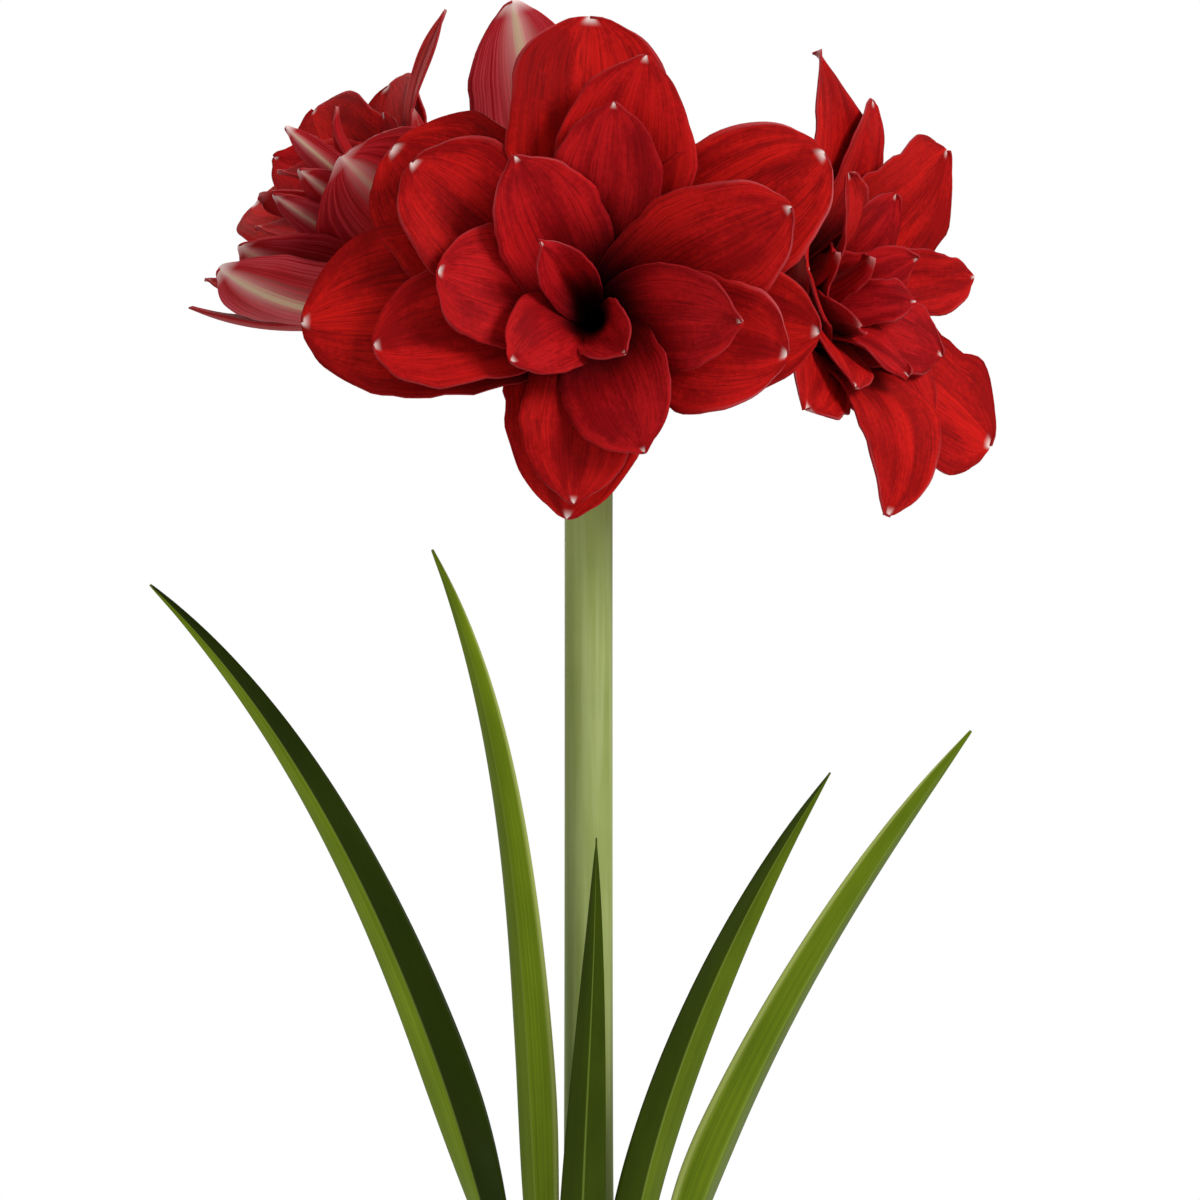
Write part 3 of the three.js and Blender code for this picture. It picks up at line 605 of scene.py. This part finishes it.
def petalSurface(form, lap, s, draw):
    midrib = petalMidrib(form)
    phase = draw.uniform(0, 2 * math.pi)
    waves = draw.uniform(*s["waves"])
    turnEnd = math.radians(draw.uniform(-s["turn"], s["turn"]))
    patch = draw.uniform(0, 100)

    def pointAt(across, along):
        share = s["firstShare"] + (1 - s["firstShare"]) * (1 - (1 - along) ** 2)
        side = 1 - 2 * across
        sign = 1 if side > 0 else -1
        point = cubicPoint(midrib, share)
        way = cubicWay(midrib, share)
        angle = math.radians(form["around"] + form["swing"] * share ** 2)
        outward = outwardAt(angle)
        sideways = Vector((-math.sin(angle), math.cos(angle), 0))
        inward = outward * -way.y + Vector((0, 0, way.x))
        forward = outward * way.x + Vector((0, 0, way.y))
        turn = Matrix.Rotation(math.radians(lap) + turnEnd * share, 3, forward)
        sideways = turn @ sideways
        inward = turn @ inward
        half = petalOutline(share, form["blunt"], s["claw"]) * form["width"] / 2
        tubeBend = (1 - share) ** 2 / max(point.x, s["throatRadius"])
        bend = form["cup"] / (form["width"] / 2) * (1 - 0.3 * share) + tubeBend
        curve = bend * side * half
        sideShift = math.sin(curve) / bend if bend > 1e-6 else side * half
        curl = (1 - math.cos(curve)) / bend if bend > 1e-6 else 0
        uneven = noise.noise(Vector((share * 6, sign * 3, patch)))
        uneven += 0.5 * noise.noise(Vector((share * 15, sign * 3, patch)))
        sideShift *= 1 + form["ragged"] * uneven * side * side * smoothStep(share, 0.25, 0.6)
        crease = form["fold"] * half * (abs(side) - 0.5) * math.sin(math.pi * min(1, 1.1 * share))
        margin = abs(side) ** 2.5 * share ** 1.2
        beat = math.pi * waves * share
        ruffle = form["ruffle"] * margin * math.sin(2 * beat + phase + sign * 1.1)
        swell = s["swell"] * math.sin(beat + phase) * (1 - side * side) * share
        fromRib = side * half / s["grooveWidth"]
        groove = -s["groove"] * math.exp(-fromRib ** 2) * smoothStep(share, 0.2, 0.6)
        spot = outward * point.x + Vector((0, 0, point.y))
        spot += sideways * sideShift + inward * (curl + crease + ruffle + swell + groove)
        spot += forward * s["mucro"] * smoothStep(share, 0.985, 1)
        return spot

    return pointAt


# Turns what is built round +Z, in mm, to face a direction from its foot, in metres
def facingMatrix(foot, facing):
    forward = Vector(facing).normalized()
    right = Vector((0, 0, 1)).cross(forward).normalized()
    up = forward.cross(right)
    turn = Matrix((right, up, forward)).transposed().to_4x4()
    return Matrix.Scale(mm, 4) @ Matrix.Translation(Vector(foot)) @ turn


def makeBloom(name, bloom, s):
    draw = random.Random(s["seed"] + len(name) * 7 + ord(name[0]))
    mesh = bmesh.new()
    for form in bloom["petals"]:
        surface = petalSurface(form, bloom["lap"], s, draw)
        formedGrid(mesh, s["acrossSteps"], s["alongSteps"], surface, tone=draw.random(),
                   pale=form["pale"], rosy=form["rosy"])
    bmesh.ops.transform(mesh, matrix=facingMatrix(bloom["foot"], bloom["facing"]), verts=mesh.verts)
    petals = finishPiece("bloom_" + name + "_petals", mesh, [petalFace, petalBack, petalEdge],
                         "bloom_" + name)
    addThickness(petals, s["thickness"], backSlot=1, edgeSlot=2)


tubeSettings = {
    "aroundSteps": 24, "alongSteps": 26, "tone": 0.3,
    "outline": [(0, 0), (4, 0), (6.4, 0.3), (7.2, 4), (8.2, 9), (9.2, 15), (9.8, 20), (8.6, 19.6),
                (6, 14), (3, 11), (0, 10)],
}


def makeTube(name, bloom, s):
    matrix = facingMatrix(bloom["foot"], bloom["facing"])

    def pointAt(across, along):
        radius, height = lineThrough(s["outline"], along)
        angle = -2 * math.pi * across
        return matrix @ Vector((radius * math.cos(angle), radius * math.sin(angle), height))

    closedPiece("bloom_" + name + "_tube", tubeSkin, "bloom_" + name, "petal_red", s, pointAt,
                tone=s["tone"])


for bloomName, bloomForm in blooms.items():
    makeBloom(bloomName, bloomForm, bloomSettings)
    makeTube(bloomName, bloomForm, tubeSettings)
print("blooms made")


# Stalks: the scape, and a pedicel with its ovary under each bloom

scapeSettings = {
    "aroundSteps": 48, "alongSteps": 90,
    "cap": 0.03,             # share of the grid's rows that close each end
    "oval": 0.035,
    "outline": [(11, 166.3), (11, 206), (10.3, 236), (9.4, 275), (9.1, 340), (9, 430), (9, 520),
                (9.2, 565), (10.2, 590), (10.6, 600), (10.6, 606)],
}


def makeScape(s):
    def pointAt(across, along):
        share = (along - s["cap"]) / (1 - 2 * s["cap"])
        radius, height = lineThrough(s["outline"], min(max(share, 0), 1))
        radius *= min(along / s["cap"], (1 - along) / s["cap"], 1)
        angle = -2 * math.pi * across
        radius *= 1 + s["oval"] * math.cos(2 * angle + 0.6)
        return Vector((radius * math.cos(angle), radius * math.sin(angle), height)) * mm

    closedPiece("scape_stalk", scapeSkin, "scape", "scape_green", s, pointAt)


pedicelSettings = {
    "circle": 6.2, "foot": 606.3, "radius": 3.9, "ovary": 6.4, "lobes": 0.07, "gap": 0.3,
    "rise": 11, "approach": 22, "aroundSteps": 30, "alongSteps": 40,
}


def makePedicel(name, bloom, s):
    stand = math.radians(bloom["stand"])
    facing = Vector(bloom["facing"]).normalized()
    root = Vector((math.cos(stand) * s["circle"], math.sin(stand) * s["circle"], s["foot"]))
    top = Vector(bloom["foot"]) - facing * s["gap"]
    route = (root, root + Vector((0, 0, s["rise"])), top - facing * s["approach"], top)
    outline = [(0, 0), (s["radius"], 0), (s["radius"], 0.2), (s["radius"], 0.4),
               (s["radius"] * 1.1, 0.55), (s["ovary"], 0.7), (s["ovary"] * 1.04, 0.85),
               (s["ovary"] * 0.9, 1), (0, 1)]
    crossways = facing.cross(Vector((0, 0, 1))).normalized()

    def pointAt(across, along):
        radius, share = lineThrough(outline, along)
        share = min(max(share, 0), 1)
        way = cubicWay(route, share)
        side = way.cross(crossways).normalized()
        angle = 2 * math.pi * across
        lobes = 1 + s["lobes"] * math.cos(3 * angle) * smoothStep(share, 0.5, 0.75)
        ring = side * math.cos(angle) + way.cross(side) * math.sin(angle)
        return (cubicPoint(route, share) + ring * max(radius, 0) * lobes) * mm

    closedPiece("pedicel_" + name + "_stalk", pedicelSkin, "pedicel_" + name, "pedicel_green",
                s, pointAt)


makeScape(scapeSettings)
for bloomName, bloomForm in blooms.items():
    makePedicel(bloomName, bloomForm, pedicelSettings)
print("stalks made")


# Strap leaves, wrapped round the scape at the root and opening to a shallow keel

leafSettings = {
    "acrossSteps": 16, "alongSteps": 96,
    "root": 167.2,           # height of the root, mm
    "rootWidth": 0.55,       # width at the root, as a share of the full width
    "thickness": 2.0 * mm,
    "wrapEnd": 0.35,         # share of the length where the blade lies flat
    "keel": 0.45,            # rise of each half, mm per mm
    "keelRound": (1.4, 1.18),        # softens the crease along the keel
    "taper": 2.8,
    "crowding": 1.25,        # how far the rows crowd towards the tip
    "ripple": 0.7,
    "tipThinning": 0.6,      # share of the thickness lost at the tip, and at the edges
    "edgeThinning": 0.55,
}

# Seen from outside the plant: the painted shade of the left and right half, 0 to 1, and the edge with
# a painted highlight, which is 0 for the left one, 1 for the right one and 2 for neither

leaves = {
    "far_left": {"around": 170, "radius": 16.6, "width": 25, "roll": 70, "rollEnd": 0.45,
                 "bend": ((-37, 8, 285), (-83, 26, 432)), "tip": (-172, 45, 514),
                 "shade": (0.0, 1.0), "lightEdge": 2},
    "left": {"around": 215, "radius": 13, "width": 21, "roll": 16, "rollEnd": 0.5,
             "bend": ((-27, -14, 290), (-15, -26, 430)), "tip": (-59, -45, 527),
             "shade": (0.3, 0.2), "lightEdge": 1},
    "front": {"around": 270, "radius": 16.6, "width": 21, "roll": 0, "rollEnd": 0.5, "taper": 2,
              "bend": ((-8, -31, 250), (2.5, -39, 330)), "tip": (3, -42, 418),
              "shade": (0.9, 0.9), "lightEdge": 2},
    "right": {"around": 325, "radius": 13, "width": 20, "roll": -58, "rollEnd": 0.8,
              "bend": ((4, -13, 262), (38, -30, 362)), "tip": (91, -55, 443),
              "shade": (0.9, 0.5), "lightEdge": 2},
    "far_right": {"around": 10, "radius": 16.6, "width": 29, "roll": -49, "rollEnd": 0.45,
                  "bend": ((25, 6, 262), (83, 16, 372)), "tip": (149, 30, 457),
                  "shade": (0.4, 0.4), "lightEdge": 0},
}


def makeLeaf(name, form, s):
    draw = random.Random(name)
    phase = draw.uniform(0, 6)
    around = math.radians(form["around"])
    outward = outwardAt(around)
    root = outward * form["radius"] + Vector((0, 0, s["root"]))
    midrib = (root, Vector(form["bend"][0]), Vector(form["bend"][1]), Vector(form["tip"]))

    def pointAt(across, along):
        share = 1 - (1 - along) ** s["crowding"]
        point, way = cubicPoint(midrib, share), cubicWay(midrib, share)
        roll = math.radians(form["roll"]) * smoothStep(share, 0, form["rollEnd"])
        side = Matrix.Rotation(roll, 3, way) @ way.cross(outward).normalized()
        inner = way.cross(side).normalized()
        rootPart = mix(s["rootWidth"], 1, smoothStep(share, 0, 0.4))
        narrowing = max(1 - share ** form.get("taper", s["taper"]), 0) ** 0.9
        half = rootPart * narrowing * form["width"] / 2
        wrap = (1 - smoothStep(share, 0, s["wrapEnd"])) / form["radius"]
        keel = s["keel"] * smoothStep(share, 0.1, 0.45)
        place = (2 * across - 1) * half
        curve = wrap * place
        sideShift = math.sin(curve) / wrap if wrap > 1e-6 else place
        curl = (1 - math.cos(curve)) / wrap if wrap > 1e-6 else 0
        fold = keel * (math.sqrt(place ** 2 + s["keelRound"][0]) - s["keelRound"][1])
        ripple = s["ripple"] * math.sin(9 * share + phase) * (2 * across - 1) ** 3 * share
        return (point + side * sideShift + inner * (curl + fold + ripple)) * mm

    mesh = bmesh.new()
    formedGrid(mesh, s["acrossSteps"], s["alongSteps"], pointAt, tone=draw.random(),
               shade=form["shade"][0], shadeStep=form["shade"][1] - form["shade"][0],
               lightEdge=form["lightEdge"])
    leaf = finishPiece("leaf_" + name + "_blade", mesh, [leafSkin], "leaf_" + name)
    group = leaf.vertex_groups.new(name="body")
    uvs = leaf.data.uv_layers[0].data
    for loop in leaf.data.loops:
        across, along = uvs[loop.index].uv
        nearEdge = abs(2 * across - 1) ** 4
        weight = (1 - s["tipThinning"] * along) * (1 - s["edgeThinning"] * nearEdge)
        group.add([loop.vertex_index], weight, "REPLACE")
    shell = addThickness(leaf, s["thickness"])
    shell.vertex_group = group.name


for leafName, leafForm in leaves.items():
    makeLeaf(leafName, leafForm, leafSettings)
print("leaves made")


# Two withered bracts that hang from the top of the scape

bractSettings = {
    "thickness": 0.5 * mm, "acrossSteps": 12, "alongSteps": 26,
    "hug": 11.8,             # radius of the foot, just clear of the scape
    "flare": 14,             # how much wider the sheet curves at its tip, mm
    "top": 606,
    "route": ((0, -4), (1, -16), (12, -20)),         # out and down, before the tip
    "tipOut": 9,
}
bracts = {
    "left": {"around": 150, "length": 52, "width": 17},
    "right": {"around": 30, "length": 38, "width": 15},
}


def makeBract(name, form, s):
    draw = random.Random("bract " + name)
    phase = draw.uniform(0, 6)
    around = math.radians(form["around"])
    outward = outwardAt(around)
    sideways = Vector((-math.sin(around), math.cos(around), 0))
    steps = (*s["route"], (s["tipOut"], -form["length"]))
    route = [outward * (s["hug"] + out) + Vector((0, 0, s["top"] + drop)) for out, drop in steps]

    def pointAt(across, along):
        point = cubicPoint(route, along)
        half = form["width"] / 2 * max(1 - along ** 1.8, 0) ** 0.8
        wrap = 1 / (s["hug"] + s["flare"] * along)
        turn = (2 * across - 1) * half * wrap
        crinkle = 0.7 * math.sin(14 * across + phase) * along * math.sin(math.pi * along)
        crinkle += 0.5 * math.sin(23 * along + 3 * across) * along
        spot = point + sideways * math.sin(turn) / wrap
        return (spot + outward * ((math.cos(turn) - 1) / wrap + crinkle)) * mm

    mesh = bmesh.new()
    formedGrid(mesh, s["acrossSteps"], s["alongSteps"], pointAt, tone=draw.random())
    bract = finishPiece("bract_" + name + "_sheet", mesh, [bractSkin], "bract_" + name)
    addThickness(bract, s["thickness"])


for bractName, bractForm in bracts.items():
    makeBract(bractName, bractForm, bractSettings)
print("bracts made")


# Bulb, with papery skins that split and peel at its neck

bulbSettings = {
    "aroundSteps": 120, "alongSteps": 84, "tone": 0.4,
    "ridge": 0.5,            # height of the ridges on the belly, mm
    "outline": [(0, 60), (20, 60), (37, 72), (46, 89), (49, 108), (46, 125), (38, 139), (30, 152),
                (26.5, 166), (25.3, 178), (24.6, 185), (23.9, 186), (23.2, 185), (22.9, 176),
                (22.8, 167), (20, 166), (0, 166)],
}


def makeBulb(s):
    def pointAt(across, along):
        radius, height = lineThrough(s["outline"], along)
        angle = -2 * math.pi * across
        ring = outwardAt(angle)
        ridge = noise.noise(Vector((ring.x * 7, ring.y * 7, height * 0.012))) * s["ridge"]
        fade = smoothStep(radius, 22.5, 31) * (1 - smoothStep(along, 0.55, 0.7))
        return (ring * max(radius + ridge * fade, 0) + Vector((0, 0, height))) * mm

    closedPiece("bulb_body", bulbSkin, "bulb", "bulb_skin", s, pointAt, tone=s["tone"])


skinSettings = {
    "count": 7, "thickness": 0.35 * mm, "acrossSteps": 26, "alongSteps": 26, "seed": 5,
    "spreads": (0.9, 1.25),          # how far round the bulb a skin goes, radians
    "tops": (0.55, 1.0),             # where it ends, as a share of the way up
    "lifts": (0.6, 1.6),             # how far its top peels away, mm
    "outline": [(46.3, 124), (42.6, 132), (38.3, 139.5), (33.8, 146), (30.2, 152.4), (28, 160),
                (26.7, 168), (25.9, 176)],
}


def makeBulbSkins(s):
    draw = random.Random(s["seed"])
    mesh = bmesh.new()
    for k in range(s["count"]):
        start = 2 * math.pi * (k + draw.uniform(-0.2, 0.2)) / s["count"]
        spread = draw.uniform(*s["spreads"])
        top = draw.uniform(*s["tops"])
        lift = draw.uniform(*s["lifts"])
        patch = draw.uniform(0, 100)

        def pointAt(across, along):
            torn = noise.noise(Vector((across * 5 + patch, patch, 0))) * 0.16
            torn += noise.noise(Vector((across * 17 + patch, 3, patch))) * 0.07
            share = along * min(max(top + torn, 0.2), 1.0)
            radius, height = lineThrough(s["outline"], share)
            angle = start + (across - 0.5) * spread * (1 - 0.25 * share)
            away = 0.5 + lift * along ** 3 + 0.7 * abs(2 * across - 1) ** 6
            away += 0.4 * noise.noise(Vector((across * 6, along * 5, patch)))
            ring = outwardAt(angle)
            return (ring * (radius + away) + Vector((0, 0, height))) * mm

        formedGrid(mesh, s["acrossSteps"], s["alongSteps"], pointAt, tone=draw.random())
    skins = finishPiece("bulb_peeling_skins", mesh, [bulbSkin], "bulb")
    addThickness(skins, s["thickness"])


makeBulb(bulbSettings)
makeBulbSkins(skinSettings)
print("bulb made")


# Soil, with crumbs, bark chips and perlite lying on it

soilSettings = {
    "top": 122, "wall": 66.5, "hollow": 47.4, "floor": 8.3, "footRadius": 49,
    "sag": 0.6, "roughness": 1.6, "aroundSteps": 150, "alongSteps": 60,
    "bands": (0.2, 0.75, 0.95),      # where the bed, the top and the wall end, as shares of the rows
    "bed": [(0, 59.2), (20.4, 59.2), (37.4, 71.6), (46.4, 89), (49.5, 108), (48.6, 116)],
}


def soilHeight(x, y, s):
    grain = noise.fractal(Vector((x * 0.09, y * 0.09, 2)), 1.0, 2.2, 4)
    return s["top"] - s["sag"] + s["roughness"] * grain


# From the bulb's bed over the rough top, down the pot's wall and in along the floor
def makeSoil(s):
    bedEnd, topEnd, wallEnd = s["bands"]

    def pointAt(across, along):
        angle = -2 * math.pi * across
        ring = outwardAt(angle)
        if along < bedEnd:
            radius, height = lineThrough(s["bed"], along / bedEnd)
        elif along < topEnd:
            share = (along - bedEnd) / (topEnd - bedEnd)
            radius = mix(s["hollow"] - 0.6, s["wall"], share)
            height = soilHeight(ring.x * radius, ring.y * radius, s)
        elif along < wallEnd:
            share = (along - topEnd) / (wallEnd - topEnd)
            radius = mix(s["wall"] + 1, s["footRadius"], share)
            height = mix(s["top"] - 3, s["floor"], share)
        else:
            radius = s["footRadius"] * (1 - along) / (1 - wallEnd)
            height = s["floor"]
        return (ring * radius + Vector((0, 0, height))) * mm

    closedPiece("soil_body", compost, "soil", "compost", s, pointAt)


crumbSettings = {
    "seed": 3,
    "ring": (49.5, 65),      # between the bulb and the pot, mm
    "tilt": 0.5,             # most that one lies aslant, radians
    "kinds": (("soil_crumbs", 620, (0.8, 2.4), 0.75, compost),
              ("soil_bark_chips", 90, (1.8, 4.4), 0.4, bark),
              ("soil_perlite", 70, (1.0, 2.2), 0.85, perlite)),
}


def makeCrumbs(name, count, sizes, flatness, material, s, soil):
    draw = random.Random(name + str(s["seed"]))
    mesh = bmesh.new()
    for _ in range(count):
        angle = draw.uniform(0, 2 * math.pi)
        radius = math.sqrt(draw.uniform(*(edge ** 2 for edge in s["ring"])))
        x, y = radius * math.cos(angle), radius * math.sin(angle)
        size = draw.uniform(*sizes)
        made = bmesh.ops.create_icosphere(mesh, subdivisions=1, radius=size * mm)
        for v in made["verts"]:
            v.co *= draw.uniform(0.7, 1.15)
            v.co.z *= flatness
        turn = Matrix.Rotation(draw.uniform(0, 6), 4, "Z")
        tilt = Matrix.Rotation(draw.uniform(-s["tilt"], s["tilt"]), 4, "X")
        place = Matrix.Translation(Vector((x, y, soilHeight(x, y, soil) + size * 0.15)) * mm)
        stretch = Matrix.Diagonal((draw.uniform(0.6, 1.3), 1, 1, 1))
        bmesh.ops.transform(mesh, matrix=place @ turn @ tilt @ stretch, verts=made["verts"])
    finishPiece(name, mesh, [material], "soil")


makeSoil(soilSettings)
for kind in crumbSettings["kinds"]:
    makeCrumbs(*kind, crumbSettings, soilSettings)
print("soil made")


# Pot: a thrown clay pot with a rim band, rounded edges and four drain holes

potSettings = {
    "height": 135, "topRadius": 77, "footRadius": 54, "wall": 5, "floor": 8, "rim": 26,
    "rimStep": 4, "drainRadius": 5, "drainCircle": 26, "drainCount": 4, "steps": 128,
    "rounding": 1.4, "roundSteps": 4, "longEdge": 12, "longSteps": 10,
}


def makePot(s):
    rimFoot = s["height"] - s["rim"]
    neck = s["topRadius"] - s["rimStep"]
    floorRadius = mix(s["footRadius"], neck, s["floor"] / rimFoot) - s["wall"]
    outline = [
        (0, 0), (s["footRadius"] - 1, 0), (neck, rimFoot), (s["topRadius"] - 0.5, rimFoot + 1.5),
        (s["topRadius"], s["height"]), (s["topRadius"] - s["wall"], s["height"]),
        (neck - s["wall"] + 1, rimFoot), (floorRadius, s["floor"]), (0, s["floor"])]
    mesh = bmesh.new()
    mesh.loops.layers.uv.verify()
    corners = [mesh.verts.new((radius * mm, 0, height * mm)) for radius, height in outline]
    for a, b in zip(corners, corners[1:]):
        mesh.edges.new((a, b))
    bmesh.ops.bevel(mesh, geom=corners[1:-1], offset=s["rounding"] * mm, affect="VERTICES",
                    segments=s["roundSteps"], profile=0.5, material=-1)
    longEdges = [edge for edge in mesh.edges if edge.calc_length() > s["longEdge"] * mm]
    bmesh.ops.subdivide_edges(mesh, edges=longEdges, cuts=s["longSteps"])
    bmesh.ops.spin(mesh, geom=mesh.verts[:] + mesh.edges[:], cent=(0, 0, 0), axis=(0, 0, 1),
                   angle=2 * math.pi, steps=s["steps"], use_merge=True)
    for face in mesh.faces:
        face.smooth = True
    cutDrains(finishPiece("pot_clay", mesh, [terracotta], "pot", closed=True), s)


def cutDrains(pot, s):
    cutter = bmesh.new()
    for k in range(s["drainCount"]):
        angle = 2 * math.pi * (k + 0.5) / s["drainCount"]
        place = outwardAt(angle) * s["drainCircle"] * mm
        bmesh.ops.create_cone(
            cutter, cap_ends=True, segments=32, radius1=s["drainRadius"] * mm,
            radius2=s["drainRadius"] * mm, depth=s["floor"] * 3 * mm,
            matrix=Matrix.Translation(place))
    cutterData = bpy.data.meshes.new("drains")
    cutter.to_mesh(cutterData)
    cutter.free()
    cutterPiece = bpy.data.objects.new("drains", cutterData)
    scene.collection.objects.link(cutterPiece)
    drains = pot.modifiers.new("drains", "BOOLEAN")
    drains.operation = "DIFFERENCE"
    drains.object = cutterPiece
    bpy.context.view_layer.update()
    evaluated = pot.evaluated_get(bpy.context.evaluated_depsgraph_get())
    cut = bpy.data.meshes.new_from_object(evaluated)
    pot.modifiers.clear()
    pot.data = cut
    bpy.data.objects.remove(cutterPiece)


makePot(potSettings)
print("pot made")


# Floor, light and background

stageSettings = {
    "floorRadius": 1.6, "floorColor": "f1f0ee", "background": 1.0, "ambient": 0.36,
    "fade": (0.25, 0.95),            # where the floor thins out, as shares of its radius
    "lights": (("key", (1.9, -1.7, 1.8), 1.1, 50), ("fill", (-1.9, -1.7, 1.0), 1.6, 8),
               ("top", (0.1, 0.6, 2.4), 1.4, 14), ("back", (-0.6, 2.2, 1.2), 1.5, 14)),
    "aim": (0, 0, 0.45),
}


def makeFloor(s):
    material, tree, shader = newMaterial("matt studio floor", Roughness=0.9)
    coords = addNode(tree, "ShaderNodeTexCoord")
    shader.inputs["Base Color"].default_value = linearColor(s["floorColor"])
    distance = addNode(tree, "ShaderNodeVectorMath", {0: coords.outputs["Object"]},
                       operation="LENGTH")
    fadeStart, fadeEnd = (share * s["floorRadius"] for share in s["fade"])
    fade = addNode(tree, "ShaderNodeMapRange", {
        "Value": distance.outputs["Value"], "From Min": fadeStart, "From Max": fadeEnd},
        interpolation_type="SMOOTHSTEP")
    clear = addNode(tree, "ShaderNodeBsdfTransparent")
    blend = addNode(tree, "ShaderNodeMixShader", {
        0: fade.outputs["Result"], 1: shader.outputs["BSDF"], 2: clear.outputs["BSDF"]})
    output = tree.nodes["Material Output"]
    tree.links.new(blend.outputs["Shader"], output.inputs["Surface"])
    mesh = bmesh.new()
    bmesh.ops.create_circle(mesh, cap_ends=True, segments=96, radius=s["floorRadius"])
    data = bpy.data.meshes.new("floor")
    mesh.to_mesh(data)
    mesh.free()
    floor = bpy.data.objects.new("floor", data)
    data.materials.append(material)
    scene.collection.objects.link(floor)


def makeLights(s):
    for name, place, size, power in s["lights"]:
        data = bpy.data.lights.new(name, "AREA")
        data.shape = "DISK"
        data.size = size
        data.energy = power
        light = bpy.data.objects.new(name, data)
        light.location = place
        toAim = Vector(s["aim"]) - Vector(place)
        light.rotation_euler = toAim.to_track_quat("-Z", "Y").to_euler()
        scene.collection.objects.link(light)


def makeWorld(s):
    world = bpy.data.worlds.new("white studio")
    world.use_nodes = True
    tree = world.node_tree
    tree.nodes.clear()
    white = (1, 1, 1, 1)
    seen = addNode(tree, "ShaderNodeBackground", {"Color": white, "Strength": s["background"]})
    lit = addNode(tree, "ShaderNodeBackground", {"Color": white, "Strength": s["ambient"]})
    rays = addNode(tree, "ShaderNodeLightPath")
    choice = addNode(tree, "ShaderNodeMixShader", {
        0: rays.outputs["Is Camera Ray"], 1: lit.outputs["Background"],
        2: seen.outputs["Background"]})
    addNode(tree, "ShaderNodeOutputWorld", {"Surface": choice.outputs["Shader"]})
    scene.world = world


makeFloor(stageSettings)
makeLights(stageSettings)
makeWorld(stageSettings)
scene.view_settings.view_transform = "Standard"
scene.view_settings.look = "None"
print("stage made")
